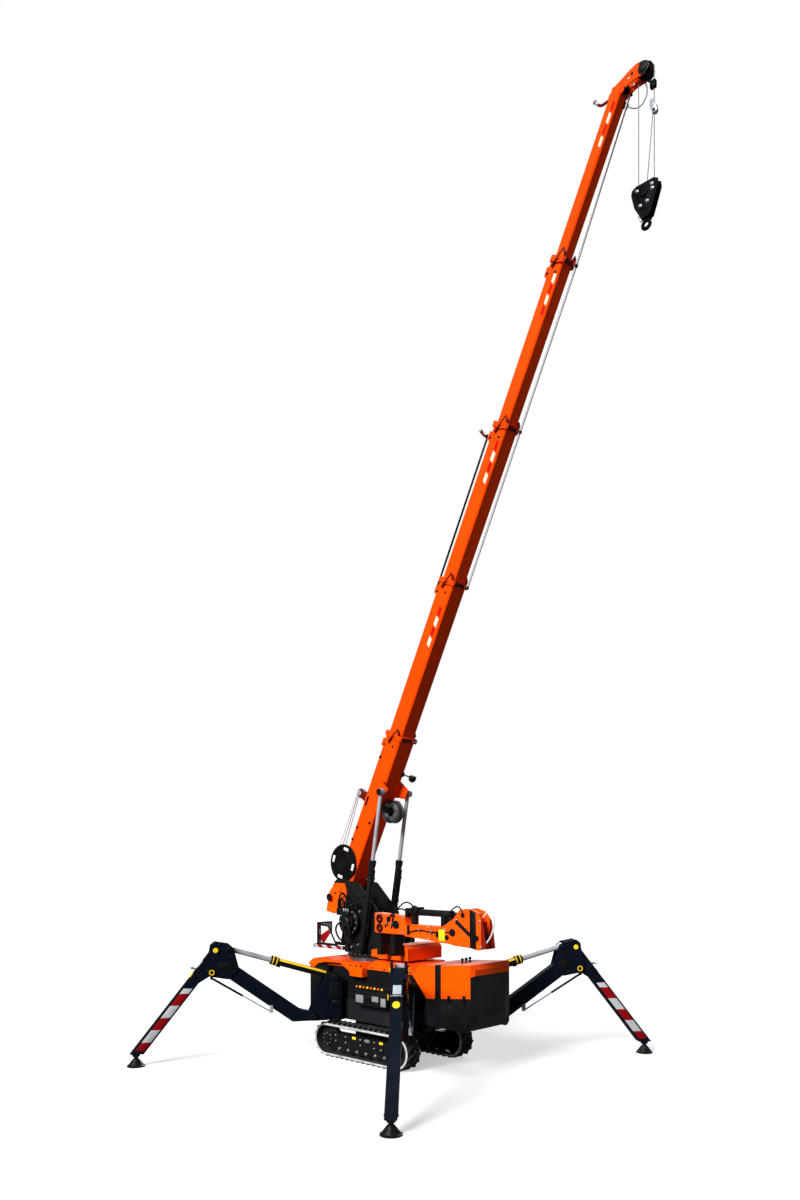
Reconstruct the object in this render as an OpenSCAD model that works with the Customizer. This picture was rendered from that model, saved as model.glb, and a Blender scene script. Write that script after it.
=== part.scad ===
// Compact crawler crane: rubber tracks, slewing turret, five-section telescopic boom,
// stowed jib and four folding outrigger legs.
// Millimetres. X points along the boom, Z is up, the slewing axis stands on the origin at the ground.

/* [Tracks] */
// Overall length of one rubber track
track_length = 1640; // [1360:10:1980]
// Overall height of one track with its tread bars
track_height = 430; // [355:5:520]
// Width of one belt
track_width = 223; // [185:1:270]
// Distance between the inner faces of the two belts
track_gap = 746; // [620:2:900]
// Height of the tread bars
bar_height = 20; // [12:1:26]
// Thickness of the belt without its bars
belt_thickness = 30; // [22:1:38]

/* [Body] */
// Height of the welded main frame
frame_height = 260; // [215:5:315]
// Width of the welded main frame
frame_width = 660; // [550:10:700]
// Height of the dark body panels above the frame
body_height = 180; // [150:5:220]
// Height of the painted covers above the body panels
cover_height = 300; // [250:5:360]
// Width of the painted covers
cover_width = 840; // [720:10:900]
// Length of the engine hood
hood_length = 900; // [750:10:1080]
// Width of the engine hood
hood_width = 720; // [600:10:760]

/* [Turret] */
// Radius of the slewing bearing
bearing_radius = 275; // [230:5:330]
// Height of the boom pivot above the slewing bearing
pivot_height = 855; // [800:5:1020]
// Distance of the boom pivot behind the slewing axis
pivot_back = 400; // [335:5:480]
// Thickness of the turret cheeks
cheek_thickness = 22; // [16:1:28]

/* [Boom] */
// Boom angle above the horizon
boom_angle = 64; // [58:1:76]
// Depth of the base section
boom_depth = 260; // [250:2:312]
// Width of the base section
boom_width = 270; // [260:2:274]
// Step in depth and width from one section to the next
boom_step = 32; // [28:1:36]
// Wall of the boom sections
boom_wall = 8; // [5:0.5:9]
// Length of the base section ahead of the pivot
base_reach = 2147; // [1900:10:2570]
// Exposed length of the second section
reach_2 = 1939; // [1615:10:2325]
// Exposed length of the third section
reach_3 = 1761; // [1470:10:2115]
// Exposed length of the fourth section
reach_4 = 1696; // [1415:10:2035]
// Exposed length of the fifth section
reach_5 = 1507; // [1255:10:1805]
// Length of the hoist rope from the boom head to the hook block
hoist_fall = 1123; // [940:1:1350]

/* [Outrigger legs] */
// Spread of the rear legs from the machine axis
rear_spread = 59; // [50:1:70]
// Spread of the front legs from the machine axis
front_spread = 50.6; // [44:0.2:60]
// Half the width of the square leg tubes
leg_half = 60; // [50:1:62]
// Radius of the foot pads
pad_radius = 105; // [88:1:126]
// Radius of the leg cylinder barrels
leg_barrel_radius = 46; // [40:1:55]
// Radius of the leg cylinder rods
leg_rod_radius = 34; // [28:1:35]
// Radius of the lift cylinder barrels
lift_barrel_radius = 42; // [37:0.5:46]

/* [Hidden] */
$fn = 64;

track_r = track_height / 2;
belt_out = track_r - bar_height;
belt_in = belt_out - belt_thickness;
track_x0 = -430;
track_x1 = track_x0 + track_length;
sprocket_x = track_x0 + track_r;
idler_x = track_x1 - track_r;
track_y0 = track_gap / 2;
track_yc = track_y0 + track_width / 2;
roller_half = track_width * 0.2;
roller_r = belt_in * 0.27;
plate_t = 15;

deck_z0 = track_height + 10;
deck_z1 = deck_z0 + frame_height;
deck_y = frame_width / 2;
body_z1 = deck_z1 + body_height;
cover_z1 = body_z1 + cover_height;
cover_y = cover_width / 2;
hood_y = hood_width / 2;
hood_x0 = 1055;
hood_x1 = hood_x0 + hood_length;
rear_x0 = -734;
mid_x = 262;
front_x = 1100;

ring_z = cover_z1 + 55;
turret_z0 = ring_z + 0.5;
turret_z1 = turret_z0 + 30;
pivot_x = -pivot_back;
pivot_z = ring_z + pivot_height;
cheek_y0 = boom_width / 2 + 22;
cheek_y1 = cheek_y0 + cheek_thickness;
lift_base_x = 80;
lift_base_z = turret_z1 + 65;
lift_y = cheek_y1 + 63;
lift_along = 1445;
lift_below = 203;

c1 = base_reach;
c2 = c1 + reach_2;
c3 = c2 + reach_3;
c4 = c3 + reach_4;
c5 = c4 + reach_5;
boom_half = boom_depth / 2;
collar = 60;

lift_eye_x = pivot_x + lift_along * cos(boom_angle) + lift_below * sin(boom_angle);
lift_eye_z = pivot_z + lift_along * sin(boom_angle) - lift_below * cos(boom_angle);
lift_angle = atan2(lift_eye_z - lift_base_z, lift_eye_x - lift_base_x);
lift_length = norm([lift_eye_x - lift_base_x, lift_eye_z - lift_base_z]);
lift_barrel = 1130;

fall_along = c5 + 205;
fall_below = 245;
fall_r = 80;
fall_x = pivot_x + fall_along * cos(boom_angle) + fall_below * sin(boom_angle);
fall_z = pivot_z + fall_along * sin(boom_angle) - fall_below * cos(boom_angle);
block_z = fall_z - hoist_fall;

swing_y = 460;
swing_rear = -190;
swing_front = 1070;
ear_r = 85;
ear_t = 25;
knuckle_z0 = deck_z0 + 5 + ear_t + 0.5;
knuckle_z1 = deck_z1 - ear_t - 0.5;
arm_pin = [280, deck_z0 + 60];
base_pin = [10, deck_z1 + 285];
rod_pin = [1318, deck_z1 + 672];
knee = [1533, 1098];
leg_top = [1530, 1270];
leg_low = [2440, 102];
foot_s = 2412;
arm_half = leg_half + 5;
bracket_y = arm_half + 7;
leg_length = norm(rod_pin - base_pin);
leg_angle = atan2(rod_pin[1] - base_pin[1], rod_pin[0] - base_pin[0]);
leg_barrel = 800;

jib_y = -(lift_y + 165);
jib_z = turret_z1 + 223;

LEGS = ["rear_right", "front_right", "front_left", "rear_left"];
LEG_PARTS = ["bracket", "arm", "lower_leg", "foot_pad", "cylinder_barrel", "cylinder_rod"];

left_track();
right_track();
track_frames();
track_wheels();
chassis_frame();
body_panels();
rear_cover();
centre_cover();
control_panel();
hood_cover();
hood_skirt();
engine_block();
slew_bearing();
turret_frame();
pivot_plates();
turret_cover();
slew_drive();
tail_marker();
jib_cradle();
jib_arm();
jib_head();
jib_cylinder();
lift_barrels();
lift_rods();
boom_base();
winch_frame();
winch_drum();
rope_guide();
cable_reel();
boom_section_2();
boom_section_3();
boom_section_4();
boom_section_5();
boom_head();
hoist_ropes();
hook_block();
for (i = [0 : 3]) {
    at_leg(i) leg_bracket();
    at_leg(i) leg_arm();
    at_leg(i) lower_leg();
    at_leg(i) foot_pad();
    at_leg(i) leg_barrel();
    at_leg(i) leg_rod();
}

// Box given by its low and high corners
module span(a, b) translate(a) cube(b - a);

// Outline drawn in X and Z, extruded between two Y planes
module slab(points, y0, y1)
    translate([0, y1, 0]) rotate([90, 0, 0]) linear_extrude(y1 - y0) polygon(points);

// The same outline on both sides of the middle plane
module slabs(points, y0, y1) {
    slab(points, y0, y1);
    slab(points, -y1, -y0);
}

// Round bar along Y through a point given in X and Z
module bar(p, r, y0, y1) translate([p[0], y1, p[1]]) rotate([90, 0, 0]) cylinder(r = r, h = y1 - y0);

// Rectangle with bevelled corners, standing across X
module bevelled(h, w, c) polygon([
    [-w / 2 + c, -h / 2], [w / 2 - c, -h / 2], [w / 2, -h / 2 + c], [w / 2, h / 2 - c],
    [w / 2 - c, h / 2], [-w / 2 + c, h / 2], [-w / 2, h / 2 - c], [-w / 2, -h / 2 + c]]);

// Bevelled box along X
module box_bar(x0, x1, h, w, c)
    translate([x0, 0, 0]) rotate([90, 0, 90]) linear_extrude(x1 - x0) bevelled(h, w, c);

// Round bar along X
module rod_x(x0, x1, r) translate([x0, 0, 0]) rotate([0, 90, 0]) cylinder(r = r, h = x1 - x0);

// Places a shape drawn along X on the boom, its pivot at the origin
module on_boom() translate([pivot_x, 0, pivot_z]) rotate([0, -boom_angle, 0]) children();

// Places a shape drawn along X on the lift cylinders' line, on both sides
module on_lift() for (s = [-1, 1])
    translate([lift_base_x, s * lift_y, lift_base_z]) rotate([0, -lift_angle, 0]) children();

// Places a leg drawn in its own frame: swing axis at the origin, leg pointing along X
module at_leg(i)
    translate([i == 0 || i == 3 ? swing_rear : swing_front, i < 2 ? -swing_y : swing_y, 0])
    rotate([0, 0, i == 0 ? rear_spread - 180 : i == 1 ? -front_spread : i == 2 ? front_spread : 180 - rear_spread])
    children();

// Rubber track: belt with tread bars, one closed loop
module stadium(r) {
    translate([sprocket_x, track_r]) circle(r);
    translate([idler_x, track_r]) circle(r);
    translate([sprocket_x, track_r - r]) square([idler_x - sprocket_x, 2 * r]);
}

module track_belt() {
    run = idler_x - sprocket_x;
    n = 16;
    pitch = run / n;
    translate([0, track_width / 2, 0]) rotate([90, 0, 0]) linear_extrude(track_width) difference() {
        union() {
            stadium(belt_out);
            for (k = [0 : n - 1], s = [-1, 1])
                translate([sprocket_x + (k + 0.5) * pitch - 18, track_r + (s > 0 ? belt_out - 5 : -track_r)])
                    square([36, bar_height + 5]);
            for (k = [0 : 7]) {
                translate([idler_x, track_r]) rotate(-78.75 + 22.5 * k)
                    translate([belt_out - 5, -18]) square([bar_height + 5, 36]);
                translate([sprocket_x, track_r]) rotate(101.25 + 22.5 * k)
                    translate([belt_out - 5, -18]) square([bar_height + 5, 36]);
            }
        }
        stadium(belt_in);
    }
}

module left_track() color("#1d1d1e") translate([0, track_yc, 0]) track_belt();
module right_track() color("#1d1d1e") translate([0, -track_yc, 0]) track_belt();

// Track frames: two side plates and a beam for each track
module track_frames() color("#26282b") for (s = [-1, 1]) translate([0, s * track_yc, 0]) {
    side = [[sprocket_x - 40, track_r - 60], [sprocket_x + 60, track_r - belt_in + 30],
            [idler_x - 60, track_r - belt_in + 30], [idler_x + 40, track_r - 60],
            [idler_x + 40, track_r + 50], [idler_x - 60, track_r + 85],
            [sprocket_x + 60, track_r + 85], [sprocket_x - 40, track_r + 50]];
    slabs(side, roller_half, roller_half + plate_t);
    span([sprocket_x + belt_in + 40, -roller_half - 1, track_r - 45],
         [idler_x - belt_in - 40, roller_half + 1, track_r + 85]);
}

// Drive sprockets at the rear, idlers at the front and six bottom rollers in each track
module track_wheels() color("#303234") for (s = [-1, 1]) translate([0, s * track_yc, 0]) {
    bar([sprocket_x, track_r], belt_in - 0.4, -roller_half + 15, roller_half - 15);
    bar([sprocket_x, track_r], 52, -roller_half, roller_half);
    bar([idler_x, track_r], belt_in - 0.4, -roller_half + 15, roller_half - 15);
    bar([idler_x, track_r], 46, -roller_half, roller_half);
    for (k = [0 : 5]) bar([sprocket_x + belt_in + 50 + k * (idler_x - sprocket_x - 2 * belt_in - 100) / 5,
                           track_r - belt_in + 0.4 + roller_r], roller_r, -roller_half, roller_half);
}

// Welded chassis: spine between the tracks, deck, lugs and king pins of the legs, front platform
module leg_lug(x, s, z0) translate([x, s * swing_y, z0]) linear_extrude(ear_t) {
    circle(ear_r);
    translate([-ear_r, s > 0 ? deck_y - 40 - swing_y : 0]) square([2 * ear_r, swing_y - deck_y + 40]);
}

module chassis_frame() color("#2c2e31") {
    axle = (track_yc - roller_half - plate_t);
    difference() {
        union() {
            span([swing_rear - 140, -deck_y, deck_z0], [1180, deck_y, deck_z1]);
            span([-60, -220, track_r - 50], [900, 220, deck_z0 + 5]);
            for (x = [120, 660]) span([x, -axle, track_r - 30], [x + 110, axle, track_r + 70]);
            span([1170, -hood_y + 30, deck_z0 + 120], [hood_x1 - 45, hood_y - 30, deck_z0 + 170]);
            for (x = [swing_rear, swing_front], s = [-1, 1], z = [deck_z0 + 5, deck_z1 - ear_t]) leg_lug(x, s, z);
            for (x = [swing_rear, swing_front], s = [-1, 1])
                translate([x, s * swing_y, deck_z0 + 5]) cylinder(r = 30, h = deck_z1 - deck_z0 - 5);
            for (s = [-1, 1]) span([1165, s * 250 - 60, deck_z0 + 40], [1275, s * 250 + 60, deck_z0 + 64]);
        }
        for (s = [-1, 1]) translate([1222, s * 250, deck_z0 + 30]) cylinder(r = 20, h = 44);
        span([-20, -180, track_r - 60], [860, 180, deck_z0 - 20]);
        for (x = [[swing_rear - 115, 390], [415, 1155]])
            span([x[0], 25 - deck_y, deck_z0 + 25], [x[1], deck_y - 25, deck_z1 + 1]);
    }
}

// Dark body panels round the frame: rear box, waist and the core under the painted covers
core_z = cover_z1 - 80;
module body_panels() color("#34373b") difference() {
    union() {
        span([rear_x0 + 12, -deck_y - 75, deck_z0 + 30], [swing_rear - 175, deck_y + 75, body_z1 + 1]);
        span([swing_rear - 176, -deck_y, deck_z0 + 30], [swing_rear - 140, deck_y, body_z1 + 1]);
        span([swing_rear - 141, -deck_y, deck_z1], [front_x - 50, deck_y, body_z1 + 1]);
        span([rear_x0 + 12, -deck_y - 75, body_z1], [swing_rear - 175, deck_y + 75, core_z]);
        span([swing_rear - 176, -deck_y, body_z1], [front_x - 50, deck_y, core_z]);
    }
    translate([0, 0, body_z1]) cylinder(r = bearing_radius - 44.7, h = cover_height);
}

// Rear painted cover with an arch over each rear leg bracket and a hole for the slewing bearing
module rear_cover() color("#f0561c") difference() {
    slab([[rear_x0, cover_z1 - 95], [rear_x0 + 13, body_z1 + 128], [mid_x, body_z1 + 128], [mid_x, cover_z1 - 60],
          [mid_x - 62, cover_z1], [rear_x0 + 94, cover_z1], [rear_x0, cover_z1 - 60]], -cover_y, cover_y);
    span([rear_x0 + 12, -deck_y - 75, body_z1], [swing_rear - 175, deck_y + 75, core_z]);
    span([swing_rear - 176, -deck_y, body_z1], [mid_x + 10, deck_y, core_z]);
    for (s = [-1, 1])
        slab([[rear_x0 - 10, body_z1], [rear_x0 - 10, cover_z1 - 92], [rear_x0 + 100, cover_z1 - 119],
              [rear_x0 + 180, cover_z1 - 62], [rear_x0 + 314, cover_z1 - 32], [swing_rear + 54, cover_z1 - 22],
              [swing_rear + 219, cover_z1 - 111], [swing_rear + 238, body_z1 + 128], [swing_rear + 238, body_z1]],
             s > 0 ? deck_y : -cover_y - 10, s > 0 ? cover_y + 10 : -deck_y);
    translate([0, 0, body_z1 - 1]) cylinder(r = bearing_radius - 44.7, h = cover_height + 2);
}

// Painted cover between the turret and the hood
module centre_cover() color("#f0561c") difference() {
    slab([[mid_x, core_z], [front_x - 50, core_z], [front_x - 50, cover_z1 - 50], [front_x - 140, cover_z1 + 40],
          [mid_x + 138, cover_z1 + 40], [mid_x, cover_z1 - 60]], -deck_y, deck_y);
    translate([0, 0, body_z1 - 1]) cylinder(r = bearing_radius - 44.7, h = cover_height + 2);
}

// Operating panel on the right side of the waist
module control_panel() color("#8f9498")
    translate([150, 0, 0]) rotate([90, 0, 90]) linear_extrude(550) polygon([
        [-deck_y, deck_z1 - 30], [-deck_y - 105, deck_z1 - 30], [-deck_y - 105, deck_z1 + 110],
        [-deck_y - 40, body_z1 + 45], [-deck_y, body_z1 + 45]]);

// Plan of the hood: the two front corners are cut off; d is the inset from the outer face
module hood_plan(d, z0, z1) translate([0, 0, z0]) linear_extrude(z1 - z0) polygon([
    [hood_x0 - 50, d - hood_y], [hood_x1 - 25 - d * 0.6, d - hood_y], [hood_x1 - d, 55 - hood_y + d * 0.6],
    [hood_x1 - d, hood_y - 55 - d * 0.6], [hood_x1 - 25 - d * 0.6, hood_y - d], [hood_x0 - 50, hood_y - d]]);

// Engine hood: painted shell over the engine, open below
hood_low = body_z1 - 14;
module hood_cover() color("#f0561c") difference() {
    intersection() {
        slab([[hood_x0, hood_low + 242], [hood_x0 + 99, hood_low + 369], [hood_x1 - 40, hood_low + 425],
              [hood_x1, hood_low + 370], [hood_x1, hood_low + 305], [hood_x1 - 27, hood_low + 290],
              [hood_x1 - 27, hood_low + 55], [hood_x0 + 218, hood_low - 13]], -hood_y, hood_y);
        hood_plan(0, hood_low - 100, hood_low + 600);
    }
    intersection() {
        slab([[hood_x0 + 44, hood_low + 240], [hood_x0 + 118, hood_low + 336], [hood_x1 - 58, hood_low + 389],
              [hood_x1 - 34, hood_low + 360], [hood_x1 - 34, hood_low - 60], [hood_x0 + 255, hood_low - 60],
              [hood_x0 + 218, hood_low + 40]], -hood_y, hood_y);
        hood_plan(30, hood_low - 100, hood_low + 600);
    }
}

// Black skirt round the engine bay: two sides and the front, fixed to the platform edges
module hood_skirt() color("#1f2123") difference() {
    intersection() {
        slab([[hood_x0 + 150, deck_z0 + 160], [hood_x0 + 230, deck_z0 + 100], [hood_x1 - 60, deck_z0 + 90],
              [hood_x1 - 14, deck_z0 + 160], [hood_x1, hood_low + 305], [hood_x1 - 27, hood_low + 290],
              [hood_x1 - 27, hood_low + 55], [hood_x0 + 218, hood_low - 13]], -hood_y, hood_y);
        hood_plan(0, deck_z0, hood_low + 400);
    }
    intersection() {
        slab([[hood_x0 + 20, deck_z0 + 60], [hood_x1 - 45, deck_z0 + 60], [hood_x1 - 45, deck_z0 + 190],
              [hood_x1 - 34, deck_z0 + 200], [hood_x1 - 34, hood_low + 350], [hood_x0 + 20, hood_low + 350]],
             -hood_y, hood_y);
        hood_plan(30, deck_z0 - 10, hood_low + 450);
    }
}

// Engine, a plain heavy block on the platform
module engine_block() color("#3a3c3e")
    span([1300, -240, deck_z0 + 170], [hood_x1 - 180, 240, hood_low + 250]);

// Slewing bearing on its pedestal
module slew_bearing() color("#4a4d50") difference() {
    union() {
        translate([0, 0, body_z1]) cylinder(r = bearing_radius - 45, h = cover_height);
        translate([0, 0, cover_z1]) cylinder(r = bearing_radius, h = ring_z - cover_z1);
    }
    translate([0, 0, body_z1 + 30]) cylinder(r = bearing_radius - 110, h = cover_height + 100);
}

// Turret weldment: base ring, two cheeks, web, boom pivot pin and lift cylinder pins
module turret_frame() color("#3b3e42") {
    translate([0, 0, turret_z0]) cylinder(r = bearing_radius + 25, h = 30.5);
    cheek = [[-300, turret_z1], [360, turret_z1], [430, turret_z1 + 75], [430, turret_z1 + 235],
             [323, turret_z1 + 530], [-60, pivot_z + 70], [pivot_x + 90, pivot_z + 110],
             [pivot_x - 70, pivot_z + 110], [pivot_x - 120, pivot_z + 40], [pivot_x - 110, pivot_z - 100],
             [-330, turret_z1 + 435]];
    slabs(cheek, cheek_y0, cheek_y1);
    span([-240, -cheek_y0 - 1, turret_z1 - 1], [300, cheek_y0 + 1, turret_z1 + 180]);
    bar([pivot_x, pivot_z], 40, -cheek_y1 - 18, cheek_y1 + 18);
    for (s = [-1, 1]) {
        bar([lift_base_x, lift_base_z], 30, s > 0 ? cheek_y1 - 1 : -lift_y - 52, s > 0 ? lift_y + 52 : -cheek_y1 + 1);
        bar([lift_base_x, lift_base_z], 52, s > 0 ? cheek_y1 - 1 : -lift_y + 42, s > 0 ? lift_y - 42 : -cheek_y1 + 1);
    }
}

// Painted plates outside the cheeks round the boom pivot, with a boss on each
module pivot_plates() color("#f0561c") difference() {
    union() {
        slabs([[pivot_x - 100, pivot_z + 64], [pivot_x + 100, pivot_z + 60], [pivot_x + 138, pivot_z - 40],
               [pivot_x + 138, pivot_z - 134], [pivot_x + 84, pivot_z - 210], [pivot_x - 9, pivot_z - 316],
               [pivot_x - 106, pivot_z - 339], [pivot_x - 245, pivot_z - 307], [pivot_x - 231, pivot_z - 222],
               [pivot_x - 189, pivot_z - 51], [pivot_x - 134, pivot_z + 7]], cheek_y1, cheek_y1 + 14);
        for (s = [-1, 1]) bar([pivot_x - 156, pivot_z - 125], 48, s > 0 ? cheek_y1 + 10 : -cheek_y1 - 42,
                              s > 0 ? cheek_y1 + 42 : -cheek_y1 - 10);
    }
    bar([pivot_x, pivot_z], 40.1, -cheek_y1 - 30, cheek_y1 + 30);
}

// Painted cover on the front of the turret, with a lower step beside the cheeks
module turret_cover() color("#f0561c") {
    slab([[430, turret_z1 - 14], [930, turret_z1 - 14], [930, turret_z1 + 130], [890, turret_z1 + 175],
          [660, turret_z1 + 168], [620, turret_z1 + 115], [430, turret_z1 + 105]], -cheek_y1 - 130, cheek_y1 + 130);
    slabs([[320, turret_z1 + 2], [440, turret_z1 + 2], [440, turret_z1 + 106], [320, turret_z1 + 80]],
          cheek_y1 + 0.1, cheek_y1 + 130);
}

// Slewing drive and hose bundle on the right cheek
module slew_drive() color("#202224") {
    bar([-165, turret_z1 + 395], 165, -cheek_y1 - 60, -cheek_y1);
    bar([-150, turret_z1 + 400], 110, -cheek_y1 - 120, -cheek_y1 - 59);
    bar([-140, turret_z1 + 270], 60, -cheek_y1 - 100, -cheek_y1);
}

// Tail frame with a blank marker plate
module tail_marker() color("#2a2c2e") {
    for (s = [-1, 1]) span([-885, s > 0 ? cheek_y1 : -cheek_y1 - 28, turret_z1 + 25],
                           [-200, s > 0 ? cheek_y1 + 28 : -cheek_y1, turret_z1 + 70]);
    span([-885, -cheek_y1 - 28, turret_z1 + 25], [-840, cheek_y1 + 28, turret_z1 + 70]);
    span([-900, -125, turret_z1 + 20], [-884, 125, turret_z1 + 350]);
}

// Cradle arms that carry the stowed jib beside the turret
module jib_cradle() color("#2f3235") for (x = [600, 820]) {
    span([x, jib_y - 90, turret_z1 + 60], [x + 70, -cheek_y1 - 130, turret_z1 + 110]);
    span([x, jib_y - 90, turret_z1 + 60], [x + 70, jib_y + 60, jib_z + 100]);
}

// Stowed jib: root block and level beam
module jib_arm() color("#f0561c") translate([0, jib_y, 0]) difference() {
    slab([[545, jib_z + 110], [575, jib_z + 100], [1020, jib_z + 100], [1060, jib_z + 85], [1640, jib_z + 40],
          [1780, jib_z + 40], [1780, jib_z + 225], [1054, jib_z + 225], [1032, jib_z + 315], [545, jib_z + 336]], -70, 70);
    bar([630, jib_z + 270], 25, -80, 80);
    bar([630, jib_z + 160], 25, -80, 80);
}

// Folded jib head: two plates, spacer, sheave and cross pin
module jib_head() color("#f0561c") translate([0, jib_y, 0]) {
    slabs([[1610, jib_z + 60], [1640, jib_z + 230], [1800, jib_z + 330], [1880, jib_z + 430], [2000, jib_z + 446],
           [2120, jib_z + 415], [2200, jib_z + 320], [2225, jib_z + 200], [2250, jib_z + 20], [2140, jib_z - 5],
           [2030, jib_z + 15], [1810, jib_z + 25]], 70, 84);
    slab([[1900, jib_z + 300], [1900, jib_z + 400], [2000, jib_z + 425], [2100, jib_z + 395], [2150, jib_z + 300]],
         -71, 71);
    bar([2120, jib_z + 130], 75, -20, 20);
    bar([2120, jib_z + 130], 18, -75, 75);
}

// Jib cylinder on two saddles along the beam's top, its rod in the head
module jib_cylinder() color("#1e2022") translate([0, jib_y, 0]) {
    for (x = [1110, 1560]) span([x, -30, jib_z + 225], [x + 60, 30, jib_z + 350]);
    translate([0, 0, jib_z + 368]) rod_x(1046, 1720, 40);
    translate([0, 0, jib_z + 368]) rod_x(1715, 1899.8, 24);
    span([1150, -60, jib_z + 404], [1230, 60, jib_z + 428]);
}

// Lift cylinder barrels, one on each side of the boom
module lift_barrels() color("#17181a") on_lift() difference() {
    union() {
        rod_x(40, lift_barrel, lift_barrel_radius);
        rod_x(lift_barrel - 60, lift_barrel + 10, lift_barrel_radius + 5);
        bar([0, 0], 52, -40, 40);
    }
    bar([0, 0], 30.05, -50, 50);
    rod_x(90, lift_barrel - 50, lift_barrel_radius - 9);
    rod_x(100, lift_barrel + 20, 25.05);
}

// Lift cylinder rods with their eyes beside the boom lugs
module lift_rods() color("#c9ccd0") on_lift() {
    rod_x(lift_length - 1060, lift_length - 20, 25);
    bar([0 + lift_length, 0], 45, -35, 35);
}

// Boom base section: tube with pivot sleeve, front collar, rear lugs and lift lugs
module tube(x0, x1, h, w, next_h, next_w) {
    difference() {
        box_bar(x0, x1, h, w, 14);
        box_bar(x0 - 5, x1 + 5, h - 2 * boom_wall, w - 2 * boom_wall, 9);
    }
    difference() {
        box_bar(x1 - collar, x1, h + 36, w + 36, 18);
        box_bar(x1 - collar - 5, x1 + 5, next_h + 0.8, next_w + 0.8, 14);
    }
    span([x1 - 210, -55, h / 2 - 2], [x1 - collar + 2, 55, h / 2 + 26]);
}

function depth(i) = boom_depth - i * boom_step;
function width(i) = boom_width - i * boom_step;

module boom_base() color("#f0561c") on_boom() difference() {
    union() {
        tube(-110, c1, depth(0), width(0), depth(1), width(1));
        bar([0, 0], 66, -width(0) / 2, width(0) / 2);
        span([-110, -width(0) / 2 + 4, -boom_half + 4], [-95, width(0) / 2 - 4, boom_half - 4]);
        slabs([[lift_along - 110, -boom_half + 60], [lift_along + 110, -boom_half + 60],
               [lift_along + 60, -lift_below - 45], [lift_along - 60, -lift_below - 45]], cheek_y1 - 6, cheek_y1 + 16);
        for (s = [-1, 1]) span([lift_along - 100, s > 0 ? width(0) / 2 - 4 : -cheek_y1, -boom_half + 10],
                               [lift_along + 100, s > 0 ? cheek_y1 : -width(0) / 2 + 4, -boom_half + 50]);
        for (s = [-1, 1]) bar([lift_along, -lift_below], 48, s > 0 ? cheek_y1 - 14 : -cheek_y1 - 20,
                              s > 0 ? cheek_y1 + 20 : -cheek_y1 + 14);
    }
    bar([0, 0], 40.05, -300, 300);
}

// Winch frame: two round side plates on the base section's sides with a hub on each
module winch_frame() color("#1c1d1f") on_boom() for (s = [-1, 1]) {
    bar([305, 116], 243, s > 0 ? width(0) / 2 + 0.1 : -width(0) / 2 - 12, s > 0 ? width(0) / 2 + 12 : -width(0) / 2 - 0.1);
    bar([305, 116], 80, s > 0 ? width(0) / 2 + 11 : -width(0) / 2 - 16, s > 0 ? width(0) / 2 + 16 : -width(0) / 2 - 11);
}

// Winch drum with its rope pack, carried between the side plates above the base section
module winch_drum() color("#55585b") on_boom() {
    bar([305, boom_half + 134], 86, -115, 115);
    for (s = [-1, 1]) bar([305, boom_half + 134], 122, s > 0 ? 103 : -115, s > 0 ? 115 : -103);
    bar([305, boom_half + 134], 40, -width(0) / 2 + 0.2, width(0) / 2 - 0.2);
}

// Rope guide sheave on a bracket above the base section
module rope_guide() color("#232527") on_boom() {
    slabs([[1120, boom_half], [1290, boom_half], [1235, boom_half + 250], [1175, boom_half + 250]], 19, 29);
    span([1120, -28, boom_half], [1290, 28, boom_half + 12]);
    bar([1205, boom_half + 205], 62, -14, 14);
    bar([1205, boom_half + 205], 16, -34, 34);
}

// Cable reel on a hanger under the base section
module cable_reel() color("#2a2c2e") on_boom() {
    slabs([[1175, -boom_half], [1265, -boom_half], [1245, -boom_half - 185], [1195, -boom_half - 185]], 56, 68);
    span([1175, -67, -boom_half - 12], [1265, 67, -boom_half]);
    bar([1220, -boom_half - 155], 138, -42, 42);
    bar([1220, -boom_half - 155], 24, -60, 60);
}

// Telescopic sections two to five
module boom_section_2() color("#f0561c") on_boom()
    tube(c1 - 330, c2, depth(1), width(1), depth(2), width(2));
module boom_section_3() color("#f0561c") on_boom()
    tube(c2 - 300, c3, depth(2), width(2), depth(3), width(3));
module boom_section_4() color("#f0561c") on_boom()
    tube(c3 - 300, c4, depth(3), width(3), depth(4), width(4));
module boom_section_5() color("#f0561c") on_boom() difference() {
    box_bar(c4 - 300, c5, depth(4), width(4), 14);
    box_bar(c4 - 305, c5 + 5, depth(4) - 2 * boom_wall, width(4) - 2 * boom_wall, 9);
}

// Boom head: end block, two cheeks bent to the underside and two sheaves on pins
module boom_head() color("#f0561c") on_boom() difference() {
    union() {
        box_bar(c5, c5 + 50, depth(4), width(4), 14);
        slabs([[c5, 66], [c5 + 55, 45], [c5 + 140, -35], [c5 + 190, -75], [c5 + 245, -140], [c5 + 268, -215],
               [c5 + 255, -275], [c5 + 205, -300], [c5 + 150, -275], [c5 + 125, -215], [c5 + 85, -140],
               [c5 + 30, -90], [c5, -80]], 46, 60);
        bar([c5 + 60, -58], 40, -20, 20);
        bar([c5 + 60, -58], 14, -66, 66);
        bar([fall_along, -fall_below], fall_r, -20, 20);
        bar([fall_along, -fall_below], 22, -66, 66);
    }
    bar([c5 + 130, -95], 15, -80, 80);
}

// Two parts of hoist rope hanging from the lower head sheave
module hoist_ropes() color("#b9b4a6") for (s = [-1, 1])
    translate([fall_x + s * (fall_r + 4.9), 0, block_z - 105]) cylinder(r = 4.5, h = fall_z - block_z + 105);

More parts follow.
